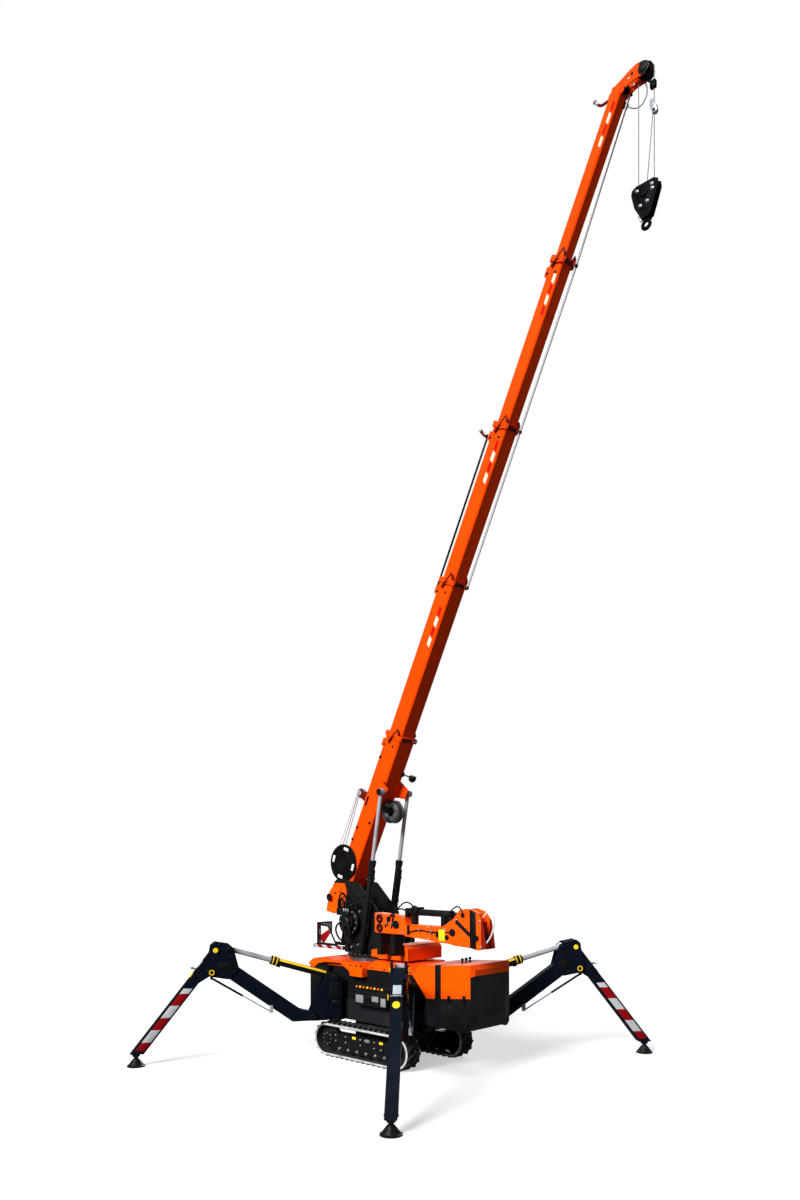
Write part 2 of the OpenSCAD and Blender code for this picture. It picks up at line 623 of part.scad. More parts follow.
// Hook block with its sheave and the swivel hook
module hook_block() color("#1b1c1e") translate([fall_x, 0, block_z]) difference() {
    union() {
        slabs([[-146, -70], [-140, -25], [-95, 0], [95, 0], [140, -25], [146, -80], [128, -135], [60, -330], [-46, -330],
               [-110, -215], [-132, -130]], 26, 40);
        bar([0, -105], fall_r, -18, 18);
        bar([0, -105], 24, -48, 48);
        for (x = [-118, 118]) bar([x, -50], 18, -46, 46);
        span([-42, -40, -344], [42, 40, -280]);
        translate([0, 0, -399]) rotate([90, -60, 0]) rotate_extrude(angle = 300) translate([46, 0]) circle(r = 12);
        translate([0, 0, -352]) cylinder(r = 16, h = 20);
    }
    translate([0, 0, -399]) rotate([90, 0, 0]) cylinder(r = 33.5, h = 60, center = true);
}

// Leg bracket: knuckle on the king pin, two cheeks, arm pin and cylinder pin
module leg_bracket() color("#25282c") {
    difference() {
        union() {
            span([-60, -bracket_y - 18, knuckle_z0], [60, bracket_y + 18, knuckle_z1]);
            slabs([[95, deck_z0 + 12], [arm_pin[0] + 20, deck_z0 + 12], [arm_pin[0] + 52, deck_z0 + 45],
                   [arm_pin[0] + 52, deck_z0 + 100], [130, base_pin[1] + 45], [-30, base_pin[1] + 45], [-70, base_pin[1] + 5],
                   [-70, deck_z1 + 12], [95, deck_z1 + 12], [95, knuckle_z1], [-60, knuckle_z1],
                   [-60, knuckle_z0], [95, knuckle_z0]], bracket_y, bracket_y + 18);
            span([-70, -bracket_y - 1, deck_z1 + 30], [-56, bracket_y + 1, deck_z1 + 200]);
            bar(arm_pin, 28, -bracket_y - 24, bracket_y + 24);
            bar(base_pin, 22, -bracket_y - 24, bracket_y + 24);
        }
        translate([0, 0, knuckle_z0 - 1]) cylinder(r = 30.05, h = knuckle_z1 - knuckle_z0 + 2);
    }
}

// Upper arm of a leg with the two knee cheeks and the knee pin
arm_low = [arm_pin[0] + 265, arm_pin[1] - 50];
arm_end = [1345, 1025];
arm_up = [arm_pin[0] + 168, arm_pin[1] + 100];
module leg_arm() color("#25282c") {
    difference() {
        union() {
            bar(arm_pin, 50, -arm_half, arm_half);
            slab([[arm_pin[0], arm_pin[1] - 50], arm_low, arm_end, [1248, 1175], arm_up,
                  [arm_pin[0], arm_pin[1] + 50]], -arm_half, arm_half);
        }
        bar(arm_pin, 28.05, -arm_half - 5, arm_half + 5);
    }
    slabs([[1200, 1125], [rod_pin[0] - 50, rod_pin[1] + 10], [rod_pin[0] + 10, rod_pin[1] + 62], [1490, 1462],
           [1545, 1420], [knee[0] + 62, knee[1] + 30], [knee[0] + 50, knee[1] - 45], [knee[0] - 20, knee[1] - 60],
           [1330, 1005]], arm_half, arm_half + 14);
    bar(knee, 25, -arm_half - 20, arm_half + 20);
    for (s = [-1, 1]) bar(rod_pin, 24, s > 0 ? arm_half + 13 : -arm_half - 22, s > 0 ? arm_half + 22 : -arm_half - 13);
    bar([1487, 1365], 30, arm_half + 13, arm_half + 34);
}

// Lower leg: square tube with a knee ear and a latch ear
leg_dir = (leg_low - leg_top) / norm(leg_low - leg_top);
leg_out = [-leg_dir[1], leg_dir[0]] * (leg_half + 3);
module lower_leg() color("#25282c") intersection() {
    difference() {
        union() {
            slab([leg_top + leg_out, leg_low + leg_out, leg_low - leg_out, leg_top - leg_out], -leg_half, leg_half);
            bar(knee, 46, -leg_half, leg_half);
            slab([knee + [-10, 44], leg_top - leg_out, leg_top - leg_out + leg_dir * 330, knee + [10, -44]],
                 -leg_half, leg_half);
            slab([[1452, 1390], [1520, 1390], leg_top + leg_out, leg_top - leg_out], -leg_half, leg_half);
        }
        bar(knee, 25.05, -leg_half - 5, leg_half + 5);
        bar([1487, 1365], 18, -leg_half - 5, leg_half + 5);
    }
    span([1000, -200, 150], [3000, 200, 1800]);
}

// Foot pad: cone on a neck under the leg end
module foot_pad() color("#1a1b1d") translate([foot_s, 0, 0]) rotate_extrude()
    polygon([[0, 0], [pad_radius, 0], [pad_radius, 14], [pad_radius - 14, 22], [36, 92], [26, 96],
             [26, 112], [34, 120], [34, 150], [0, 150]]);

// Leg cylinder barrel
module leg_barrel() color("#17181a")
    translate([base_pin[0], 0, base_pin[1]]) rotate([0, -leg_angle, 0]) difference() {
        union() {
            rod_x(30, leg_barrel, leg_barrel_radius);
            rod_x(leg_barrel - 50, leg_barrel + 10, leg_barrel_radius + 5);
            bar([0, 0], 48, -52, 52);
        }
        bar([0, 0], 22.05, -60, 60);
        rod_x(80, leg_barrel - 40, max(leg_barrel_radius - 9, leg_rod_radius + 3));
        rod_x(90, leg_barrel + 20, leg_rod_radius + 0.05);
    }

// Leg cylinder rod with its eye between the knee cheeks
module leg_rod() color("#c9ccd0")
    translate([base_pin[0], 0, base_pin[1]]) rotate([0, -leg_angle, 0]) {
        rod_x(520, leg_length - 20, leg_rod_radius);
        bar([0 + leg_length, 0], 42, -46, 46);
    }
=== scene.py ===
import math

import bpy
from mathutils import Matrix, Vector


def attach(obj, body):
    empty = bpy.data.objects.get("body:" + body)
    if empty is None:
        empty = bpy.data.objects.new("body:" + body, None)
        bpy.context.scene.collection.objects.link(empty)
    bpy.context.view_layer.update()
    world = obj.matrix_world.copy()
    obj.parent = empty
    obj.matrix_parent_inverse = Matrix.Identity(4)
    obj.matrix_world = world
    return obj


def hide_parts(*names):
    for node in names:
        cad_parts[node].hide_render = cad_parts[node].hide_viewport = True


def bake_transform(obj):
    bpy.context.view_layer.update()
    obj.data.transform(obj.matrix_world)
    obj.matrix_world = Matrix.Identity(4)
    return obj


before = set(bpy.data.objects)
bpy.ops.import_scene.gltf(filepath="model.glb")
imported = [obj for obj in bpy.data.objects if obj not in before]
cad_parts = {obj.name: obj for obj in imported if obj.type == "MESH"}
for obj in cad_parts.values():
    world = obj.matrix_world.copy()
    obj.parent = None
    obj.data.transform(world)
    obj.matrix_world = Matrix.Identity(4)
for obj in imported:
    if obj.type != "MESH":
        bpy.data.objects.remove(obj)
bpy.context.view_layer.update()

# Studio: a pale floor and white surroundings, one large key light from the camera's
# left, which leaves the boom's underside in shade, and a weak light from behind.
# The camera stands level, and its shift sets the tall frame of the photograph.
FLOOR_TONE, FLOOR_GLOW, FLOOR_BOUNCE, AIR_LIGHT = 0.5, 0.5, 0.12, 0.13


def grey(level):
    """An even grey."""
    return (level, level, level, 1)


def for_camera(tree, seen, unseen, end):
    """Shows one shader to the camera and lets another light the scene."""
    path, mix = tree.nodes.new("ShaderNodeLightPath"), tree.nodes.new("ShaderNodeMixShader")
    tree.links.new(path.outputs["Is Camera Ray"], mix.inputs["Fac"])
    tree.links.new(unseen, mix.inputs[1])
    tree.links.new(seen, mix.inputs[2])
    tree.links.new(mix.outputs["Shader"], tree.nodes[end].inputs["Surface"])


def lamp(name, strength, width, way):
    """A distant lamp: its strength, the degrees that it fills and the way its light goes."""
    light = bpy.data.objects.new(name, bpy.data.lights.new(name, "SUN"))
    light.data.energy, light.data.angle = strength, math.radians(width)
    light.rotation_euler = Vector(way).to_track_quat("-Z", "Y").to_euler()
    bpy.context.collection.objects.link(light)


bpy.ops.object.select_all(action="DESELECT")
bpy.ops.mesh.primitive_plane_add(size=240, location=(0, 0, -0.001))
floor = bpy.context.object
floor.name = "studio_floor"
floor_paint = bpy.data.materials.new("floor_paint")
floor_paint.use_nodes = True
floor_tree = floor_paint.node_tree
floor_skin = floor_tree.nodes["Principled BSDF"]
floor_skin.inputs["Base Color"].default_value = grey(FLOOR_TONE)
floor_skin.inputs["Emission Color"].default_value = grey(1)
floor_skin.inputs["Emission Strength"].default_value = FLOOR_GLOW
floor_skin.inputs["Roughness"].default_value = 0.9
floor_dim = floor_tree.nodes.new("ShaderNodeBsdfDiffuse")
floor_dim.inputs["Color"].default_value = grey(FLOOR_BOUNCE)
for_camera(floor_tree, floor_skin.outputs["BSDF"], floor_dim.outputs["BSDF"], "Material Output")
floor.data.materials.append(floor_paint)

studio_air = bpy.data.worlds.new("studio_air")
bpy.context.scene.world = studio_air
studio_air.use_nodes = True
air_tree = studio_air.node_tree
air_light, backdrop = air_tree.nodes["Background"], air_tree.nodes.new("ShaderNodeBackground")
for shine, strength in ((air_light, AIR_LIGHT), (backdrop, 1.0)):
    shine.inputs["Color"].default_value = grey(1)
    shine.inputs["Strength"].default_value = strength
for_camera(air_tree, backdrop.outputs["Background"], air_light.outputs["Background"], "World Output")

lamp("key_lamp", 6.4, 24, (-1.5, 15.0, -9.0))
lamp("back_lamp", 1.5, 40, (7.0, -12.0, -8.0))

camera_body = bpy.data.cameras.new("photo_camera")
camera_body.lens, camera_body.sensor_width = 27.09, 36
camera_body.shift_y = 0.2108
camera_body.clip_end = 400
camera = bpy.data.objects.new("photo_camera", camera_body)
bpy.context.collection.objects.link(camera)
camera.location = (8.264, -8.182, 2.545)
camera.rotation_euler = (math.radians(90), 0, math.radians(43.46))
bpy.context.scene.camera = camera
bpy.context.scene.view_settings.view_transform = "Standard"

# Tracks: two endless rubber belts with moulded slanting lugs, a pale lip
# along both edges of each belt, drawn over the sprocket at the rear and the
# idler at the front.
SPROCKET, IDLER, AXLE_Z, BELT_R = -0.215, 0.995, 0.215, 0.195
TRACK_Y, BELT_WIDTH, BELT_WALL = 0.4845, 0.223, 0.030
LUG_PITCHES, LUG_ROW, LUG_LEAN = 40, 0.055, 24
LIP_WIDTH, LIP_WALL, LIP_PROUD = 0.010, 0.026, 0.0012
SIDES = ((-1, "right"), (1, "left"))


def free_hands():
    """Leaves nothing selected, so that the next tool acts on its own piece."""
    bpy.ops.object.select_all(action="DESELECT")


def take(piece):
    """Selects one piece and nothing else."""
    free_hands()
    piece.select_set(True)
    bpy.context.view_layer.objects.active = piece


def settle(piece):
    """Puts a piece's place, turn and scale into its mesh."""
    take(piece)
    bpy.ops.object.transform_apply(location=True, rotation=True, scale=True)


def moved(piece, place):
    """Moves and turns a piece to its place."""
    piece.matrix_world = place @ piece.matrix_world
    settle(piece)
    return piece


def pick(piece, kind, test):
    """Opens a piece for editing with only the points or faces picked that pass the test."""
    take(piece)
    for group in (piece.data.vertices, piece.data.edges, piece.data.polygons):
        for item in group:
            item.select = False
    for item in piece.data.vertices if kind == "points" else piece.data.polygons:
        item.select = test(item)
    bpy.context.tool_settings.mesh_select_mode = (kind == "points", False, kind == "faces")
    bpy.ops.object.mode_set(mode="EDIT")


def round_edges(piece, width, steps=2, angle=35):
    """Rounds every edge that is sharper than the angle."""
    take(piece)
    tool = piece.modifiers.new("rounding", "BEVEL")
    tool.width, tool.segments, tool.limit_method = width, steps, "ANGLE"
    tool.angle_limit = math.radians(angle)
    bpy.ops.object.modifier_apply(modifier=tool.name)


def joined(pieces):
    """Several pieces made one."""
    free_hands()
    for piece in pieces:
        piece.select_set(True)
    bpy.context.view_layer.objects.active = pieces[0]
    bpy.ops.object.join()
    return pieces[0]


def repeated(piece, places):
    """One modelled piece copied to each place, each copy with its own mesh, and joined as a set."""
    made = []
    for place in places:
        twin = piece.copy()
        twin.data = piece.data.copy()
        bpy.context.collection.objects.link(twin)
        twin.matrix_world = place @ piece.matrix_world
        made.append(twin)
    bpy.data.objects.remove(piece)
    return joined(made)


def mounted(made, name, body, skin, place=Matrix.Identity(4), smooth=35):
    """Makes a list of pieces one, and puts it with its finish on the body that carries it."""
    piece = moved(joined(made) if isinstance(made, list) else made, place)
    bpy.ops.object.shade_smooth_by_angle(angle=math.radians(smooth))
    piece.name = piece.data.name = name
    piece.data.materials.clear()
    piece.data.materials.append(skin)
    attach(piece, body)
    return piece


def shade(red, green, blue):
    """A screen colour from 0 to 255 as the light that the shader works with."""
    levels = [v / 255 for v in (red, green, blue)]
    return [v / 12.92 if v <= 0.04045 else ((v + 0.055) / 1.055) ** 2.4 for v in levels] + [1]


def node_sum(tree, work, *values):
    """One Math node; a number is set on its socket, anything else is linked."""
    step = tree.nodes.new("ShaderNodeMath")
    step.operation = work
    for hole, value in zip(step.inputs, values):
        if isinstance(value, (int, float)):
            hole.default_value = value
        else:
            tree.links.new(value, hole)
    return step.outputs["Value"]


def effect(name, takes, gives, kind="NodeSocketFloat"):
    """A new shader node group with its input and output nodes and its place on the piece."""
    group = bpy.data.node_groups.new(name, "ShaderNodeTree")
    for socket in takes:
        group.interface.new_socket(socket, in_out="INPUT", socket_type=kind)
    for socket in gives:
        group.interface.new_socket(socket, in_out="OUTPUT", socket_type="NodeSocketFloat")
    ends = [group.nodes.new("NodeGroup" + end) for end in ("Input", "Output")]
    return group, ends[0].outputs, ends[1].inputs, group.nodes.new("ShaderNodeTexCoord").outputs["Object"]


ageing, age_in, age_out, age_place = effect("surface_age", ["Scale"], ["Mottle", "Chips", "Grime", "Height"])


def age_noise(times, detail, rough):
    """One layer of noise inside the ageing group, at a multiple of its scale."""
    layer = ageing.nodes.new("ShaderNodeTexNoise")
    layer.inputs["Detail"].default_value = detail
    layer.inputs["Roughness"].default_value = rough
    ageing.links.new(age_place, layer.inputs["Vector"])
    ageing.links.new(node_sum(ageing, "MULTIPLY", age_in["Scale"], times), layer.inputs["Scale"])
    return layer.outputs["Fac"]


def age_range(source, low, high, mask):
    """Spreads a part of a noise layer over nought to one and gives it out as a mask."""
    spread = ageing.nodes.new("ShaderNodeMapRange")
    spread.interpolation_type = "SMOOTHSTEP"
    spread.inputs["From Min"].default_value = low
    spread.inputs["From Max"].default_value = high
    ageing.links.new(source, spread.inputs["Value"])
    ageing.links.new(spread.outputs["Result"], age_out[mask])


age_broad, age_fine = age_noise(1, 5, 0.6), age_noise(17, 6, 0.7)
age_range(age_broad, 0.32, 0.68, "Mottle")
age_range(age_fine, 0.66, 0.71, "Chips")
age_range(age_noise(0.45, 4, 0.65), 0.5, 0.75, "Grime")
ageing.links.new(node_sum(ageing, "MULTIPLY_ADD", age_fine, 0.35, age_broad), age_out["Height"])


def blend_in(skin, mask, colour):
    """Lays one more colour over a finish wherever the mask is white."""
    tree = skin.node_tree
    base = tree.nodes["Principled BSDF"].inputs["Base Color"]
    coat = tree.nodes.new("ShaderNodeMix")
    coat.data_type = "RGBA"
    tree.links.new(mask, coat.inputs["Factor"])
    tree.links.new(base.links[0].from_socket, coat.inputs["A"])
    coat.inputs["B"].default_value = colour
    tree.links.new(coat.outputs["Result"], base)


def finish(name, colour, rough, scale=5, metal=0.0, coat=0.0, depth=0.2, spread=0.14, chip=None, grime=None,
           shine=0.14):
    """A worn surface: the colour drifts, gloss follows it, chips and grime show through."""
    skin = bpy.data.materials.new(name)
    skin.use_nodes = True
    nodes, links = skin.node_tree.nodes, skin.node_tree.links
    body = nodes["Principled BSDF"]
    body.inputs["Metallic"].default_value = metal
    body.inputs["Coat Weight"].default_value = coat
    body.inputs["Specular IOR Level"].default_value = 0.5 if metal else shine
    body.inputs["Coat Roughness"].default_value = 0.12
    age = nodes.new("ShaderNodeGroup")
    age.node_tree = ageing
    age.inputs["Scale"].default_value = scale
    drift = nodes.new("ShaderNodeMix")
    drift.data_type = "RGBA"
    drift.inputs["A"].default_value = [v * (1 - spread) for v in colour[:3]] + [1]
    drift.inputs["B"].default_value = [min(1, v * (1 + spread * 0.6)) for v in colour[:3]] + [1]
    links.new(age.outputs["Mottle"], drift.inputs["Factor"])
    links.new(drift.outputs["Result"], body.inputs["Base Color"])
    gloss = nodes.new("ShaderNodeMapRange")
    gloss.inputs["To Min"].default_value = max(0.05, rough - 0.07)
    gloss.inputs["To Max"].default_value = min(1, rough + 0.1)
    links.new(age.outputs["Grime"], gloss.inputs["Value"])
    links.new(gloss.outputs["Result"], body.inputs["Roughness"])
    relief = nodes.new("ShaderNodeBump")
    relief.inputs["Strength"].default_value = depth
    relief.inputs["Distance"].default_value = 0.004
    links.new(age.outputs["Height"], relief.inputs["Height"])
    links.new(relief.outputs["Normal"], body.inputs["Normal"])
    for mask, tint in (("Grime", grime), ("Chips", chip)):
        if tint:
            blend_in(skin, age.outputs[mask], tint)
    return skin


def dress(skin, *nodes):
    """Gives CAD nodes their finish."""
    for node in nodes:
        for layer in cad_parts[node].material_slots:
            layer.material = skin


def belt_loop(side, radius, wall, y_low, y_high):
    """A band round sprocket and idler, closed and with its wall turned inwards."""
    free_hands()
    bpy.ops.mesh.primitive_cylinder_add(
        vertices=64, radius=radius, depth=y_high - y_low, end_fill_type="NOTHING",
        rotation=(math.pi / 2, 0, 0), location=(SPROCKET, side * (y_low + y_high) / 2, AXLE_Z))
    band = bpy.context.object
    settle(band)
    pick(band, "points", lambda point: point.co.x > SPROCKET + 1e-4)
    bpy.ops.transform.translate(value=(IDLER - SPROCKET, 0, 0))
    bpy.ops.mesh.select_all(action="SELECT")
    bpy.ops.mesh.normals_make_consistent(inside=False)
    bpy.ops.object.mode_set(mode="OBJECT")
    tool = band.modifiers.new("wall", "SOLIDIFY")
    tool.thickness, tool.offset = wall, -1
    bpy.ops.object.modifier_apply(modifier=tool.name)
    round_edges(band, 0.003, 1, 50)
    return band


def belt_place(way):
    """Where the belt is after a length of its outer face: a frame with X along it and Z outwards."""
    straight, bend = IDLER - SPROCKET, math.pi * BELT_R
    if way < straight:
        x, z, turn = SPROCKET + way, AXLE_Z + BELT_R, 0
    elif way < straight + bend:
        turn = (way - straight) / BELT_R
        x, z = IDLER + BELT_R * math.sin(turn), AXLE_Z + BELT_R * math.cos(turn)
    elif way < 2 * straight + bend:
        x, z, turn = IDLER - (way - straight - bend), AXLE_Z - BELT_R, math.pi
    else:
        turn = math.pi + (way - 2 * straight - bend) / BELT_R
        x, z = SPROCKET + BELT_R * math.sin(turn), AXLE_Z + BELT_R * math.cos(turn)
    return Matrix.Translation((x, 0, z)) @ Matrix.Rotation(turn, 4, "Y")


def lug():
    """One moulded lug, wider at its foot."""
    free_hands()
    bpy.ops.mesh.primitive_cube_add(size=1, location=(0, 0, 0.0085))
    piece = bpy.context.object
    piece.scale = (0.040, 0.108, 0.023)
    settle(piece)
    pick(piece, "faces", lambda face: face.normal.z > 0.9)
    bpy.ops.transform.resize(value=(0.66, 0.93, 1))
    bpy.ops.object.mode_set(mode="OBJECT")
    return piece


rubber = finish("track_rubber_black", shade(34, 34, 35), 0.66, 9, depth=0.5, spread=0.3,
                grime=shade(62, 61, 60), shine=0.4)
lip_rubber = finish("track_lip_pale", shade(176, 175, 172), 0.7, 14, depth=0.4, spread=0.25,
                    grime=shade(128, 125, 120))
lug_pitch = (2 * (IDLER - SPROCKET) + 2 * math.pi * BELT_R) / LUG_PITCHES
inner, outer = TRACK_Y - BELT_WIDTH / 2, TRACK_Y + BELT_WIDTH / 2
for side, hand in SIDES:
    belt = belt_loop(side, BELT_R, BELT_WALL, inner, outer)
    places = []
    for k in range(LUG_PITCHES):
        for row, shift in ((-1, 0), (1, 0.5)):
            places.append(belt_place((k + shift) * lug_pitch)
                          @ Matrix.Translation((0, side * TRACK_Y + row * LUG_ROW, 0))
                          @ Matrix.Rotation(math.radians(-row * LUG_LEAN), 4, "Z"))
    belt = joined([belt, repeated(lug(), places)])
    pick(belt, "points", lambda point: True)
    bpy.ops.mesh.bisect(plane_co=(0, 0, 0), plane_no=(0, 0, 1), use_fill=True, clear_inner=True)
    bpy.ops.object.mode_set(mode="OBJECT")
    mounted(belt, hand + "_rubber_belt", "chassis", rubber)
    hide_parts(hand + "_track")
    lips = [belt_loop(side, BELT_R + 0.0015, LIP_WALL, low, high)
            for low, high in ((outer - LIP_WIDTH, outer + LIP_PROUD), (inner - LIP_PROUD, inner + LIP_WIDTH))]
    mounted(lips, hand + "_belt_lips", "chassis", lip_rubber)

# Track frames and wheels: welded steel side plates round a beam, with a bolted
# drive cover at the rear, an idler cap at the front, roller axle ends along the
# bottom and small plates riveted on the outside.
FRAME_FACE, COVER_RING, MARK_LOW, MARK_HIGH = 0.5441, 0.068, 0.262, 0.292
ROLLERS, ROLLER_PITCH, ROLLER_Z = 6, 0.156, 0.115


def span(side, near, far):
    """Two distances from the middle as a low and a high Y on one side."""
    return sorted((side * near, side * far))


def block(x, y, z, rounding=0.004):
    """A squared block between two X, two Y and two Z, with its edges rounded."""
    free_hands()
    bpy.ops.mesh.primitive_cube_add(size=1, location=[sum(pair) / 2 for pair in (x, y, z)])
    piece = bpy.context.object
    piece.scale = [pair[1] - pair[0] for pair in (x, y, z)]
    settle(piece)
    round_edges(piece, rounding)
    return piece


def plate(outline, y, rounding=0.002):
    """A flat plate cut to an outline in X and Z, from one Y to the other."""
    free_hands()
    bpy.ops.mesh.primitive_circle_add(vertices=len(outline), radius=1, fill_type="NGON")
    piece = bpy.context.object
    for corner, (along, up) in zip(piece.data.vertices, outline):
        corner.co = (along, y[0], up)
    bpy.ops.object.mode_set(mode="EDIT")
    bpy.ops.mesh.select_all(action="SELECT")
    bpy.ops.mesh.extrude_region_move(TRANSFORM_OT_translate={"value": (0, y[1] - y[0], 0)})
    bpy.ops.mesh.select_all(action="SELECT")
    bpy.ops.mesh.normals_make_consistent(inside=False)
    bpy.ops.object.mode_set(mode="OBJECT")
    round_edges(piece, rounding)
    return piece


def oblong(x0, x1, z0, z1):
    """The outline of a squared plate."""
    return [(x0, z0), (x1, z0), (x1, z1), (x0, z1)]


def facing(way):
    """The turn that points a piece's Z a way."""
    return Vector(way).to_track_quat("Z", "Y").to_matrix().to_4x4()


def turned(profile, centre, way, steps=32):
    """A part turned on a lathe: (radius, height) points, standing on a centre and pointing a way."""
    free_hands()
    bpy.ops.mesh.primitive_circle_add(vertices=len(profile), radius=1, fill_type="NOTHING")
    piece = bpy.context.object
    for corner, (radius, height) in zip(piece.data.vertices, profile):
        corner.co = (radius, 0, height)
    bpy.ops.object.mode_set(mode="EDIT")
    bpy.ops.mesh.select_all(action="SELECT")
    bpy.ops.mesh.spin(steps=steps, angle=2 * math.pi, center=(0, 0, 0), axis=(0, 0, 1))
    bpy.ops.mesh.select_all(action="SELECT")
    bpy.ops.mesh.remove_doubles(threshold=1e-5)
    bpy.ops.mesh.delete_loose()
    bpy.ops.mesh.select_all(action="SELECT")
    bpy.ops.mesh.normals_make_consistent(inside=False)
    bpy.ops.object.mode_set(mode="OBJECT")
    return moved(piece, Matrix.Translation(centre) @ facing(way))


def cap(radius, height, centre, way, steps=28):
    """A low round cap with a rounded rim and a shallow centre."""
    return turned([(0, 0), (radius, 0), (radius, height * 0.7), (radius * 0.93, height * 0.92),
                   (radius * 0.84, height), (radius * 0.5, height), (radius * 0.44, height * 0.8),
                   (0, height * 0.8)], centre, way, steps)


def bolts(places):
    """Hexagon bolt heads on washers; each place is a point, the way it faces and its radius."""
    free_hands()
    bpy.ops.mesh.primitive_cylinder_add(vertices=6, radius=1, depth=0.8, location=(0, 0, 0.45))
    head = bpy.context.object
    settle(head)
    pick(head, "faces", lambda face: face.normal.z > 0.9)
    bpy.ops.mesh.inset(thickness=0.22, depth=0.16)
    bpy.ops.object.mode_set(mode="OBJECT")
    washer = turned([(0, 0), (1.35, 0), (1.35, 0.12), (1.25, 0.18), (0, 0.18)], (0, 0, 0), (0, 0, 1), 14)
    return repeated(joined([head, washer]), [
        Matrix.Translation(point) @ facing(way) @ Matrix.Scale(size, 4) for point, way, size in places])


def bolt_places(spots, y, size, sides=(-1, 1), centre=0.0):
    """Places for bolts at the same spots in X and Z on both sides, facing outwards."""
    return [((x, centre + s * y, z), (0, s, 0), size) for s in sides for x, z in spots]


def circle(x, z, radius, count):
    """Evenly spaced spots round a centre."""
    turns = [2 * math.pi * t / count for t in range(count)]
    return [(x + radius * math.cos(turn), z + radius * math.sin(turn)) for turn in turns]


def grid(across, up):
    """Every spot of a grid."""
    return [(x, z) for x in across for z in up]


frame_paint = finish("track_frame_black", shade(14, 15, 16), 0.5, 7, depth=0.3, spread=0.25,
                     chip=shade(56, 54, 51), grime=shade(24, 23, 21))
wheel_iron = finish("wheel_iron_dark", shade(34, 35, 37), 0.5, 9, metal=0.6, depth=0.4, spread=0.3,
                    grime=shade(50, 45, 40))
zinc = finish("zinc_bolt", shade(128, 130, 133), 0.42, 20, metal=0.7, spread=0.2, grime=shade(96, 92, 86))
yellow_paint = finish("yellow_mark", shade(240, 196, 30), 0.42, 12, depth=0.15, spread=0.12,
                      chip=shade(120, 100, 40))
grey_plate = finish("grey_plate", shade(112, 115, 118), 0.5, 12, metal=0.2, depth=0.15, spread=0.16)
dress(frame_paint, "track_frames")
dress(wheel_iron, "track_wheels")
drive_cover = [(0, 0), (0.086, 0), (0.086, 0.012), (0.080, 0.018), (0.056, 0.018), (0.050, 0.034),
               (0.034, 0.038), (0.030, 0.034), (0, 0.034)]
for side, hand in SIDES:
    face, out = side * FRAME_FACE, (0, side, 0)
    mounted([turned(drive_cover, (SPROCKET, face, AXLE_Z), out),
             cap(0.056, 0.022, (IDLER, face, AXLE_Z), out, 32),
             block((0.70, 0.90), span(side, FRAME_FACE, FRAME_FACE + 0.016), (0.165, 0.235)),
             plate([(-0.12, 0.10), (0.90, 0.10), (0.88, 0.13), (-0.10, 0.13)],
                   span(side, FRAME_FACE, FRAME_FACE + 0.008))],
            hand + "_track_covers", "chassis", frame_paint)
    heads = bolt_places([(ROLLER_PITCH * k, ROLLER_Z) for k in range(ROLLERS)],
                        FRAME_FACE + 0.0085, 0.016, [side])
    heads += bolt_places(circle(SPROCKET, AXLE_Z, COVER_RING, 8), FRAME_FACE + 0.017, 0.007, [side])
    heads += bolt_places(grid((0.73, 0.87), (0.20,)), FRAME_FACE + 0.016, 0.011, [side])
    heads += bolt_places(grid((-0.08, 0.10, 0.36, 0.60), (0.20, 0.27)), FRAME_FACE, 0.010, [side])
    mounted(bolts(heads), hand + "_track_bolts", "chassis", zinc)
    thin = span(side, FRAME_FACE, FRAME_FACE + 0.003)
    marks = [plate(oblong(x - 0.03, x + 0.03, MARK_LOW, MARK_HIGH), thin, 0.001) for x in (0.251, 0.715)]
    marks.append(plate([(0.90, MARK_LOW), (0.985, 0.245), (0.985, 0.258), (0.90, 0.276)], thin, 0.001))
    mounted(marks, hand + "_track_marks", "chassis", yellow_paint)
    oval = [(0.478 + 0.05 * x, 0.272 + 0.020 * z) for x, z in circle(0, 0, 1, 16)]
    mounted(plate(oval, span(side, FRAME_FACE, FRAME_FACE + 0.004), 0.001),
            hand + "_track_plate", "chassis", grey_plate)

# Chassis and body: a welded frame between the tracks with the leg lugs, and dark
# pressed panels bolted round it, with a service door each side and slats in the
# tail for cooling air.
BODY_FACE, BODY_TAIL, WAIST_FACE = 0.405, -0.720, 0.33
SLATS, SLAT_LOW, SLAT_PITCH, SLAT_TALL = 7, 0.56, 0.05, 0.025
chassis_paint = finish("chassis_grey", shade(24, 26, 29), 0.5, 6, depth=0.25, spread=0.22,
                       chip=shade(60, 57, 54), grime=shade(38, 35, 32))
panel_black = finish("panel_black", shade(11, 12, 13), 0.55, 6, depth=0.3, spread=0.2, grime=shade(19, 19, 19))
black_trim = finish("black_trim", shade(11, 12, 13), 0.5, 9, depth=0.25, spread=0.25)
dress(chassis_paint, "chassis_frame")
dress(panel_black, "body_panels", "engine_block")
doors = []
for side, _ in SIDES:
    doors.append(plate([(-0.700, 0.52), (-0.690, 0.50), (-0.400, 0.50), (-0.390, 0.52), (-0.390, 0.94),
                        (-0.400, 0.96), (-0.690, 0.96), (-0.700, 0.94)],
                       span(side, BODY_FACE, BODY_FACE + 0.006)))
    doors.append(block((-0.46, -0.43), span(side, BODY_FACE + 0.005, BODY_FACE + 0.02), (0.68, 0.78), 0.006))
for k in range(SLATS):
    slat = SLAT_LOW + SLAT_PITCH * k
    doors.append(block((BODY_TAIL - 0.016, BODY_TAIL), (-0.30, 0.30), (slat, slat + SLAT_TALL), 0.006))
mounted(doors, "body_doors", "chassis", panel_black)
heads = bolt_places(grid((-0.675, -0.415), (0.53, 0.73, 0.93)), BODY_FACE + 0.006, 0.009)
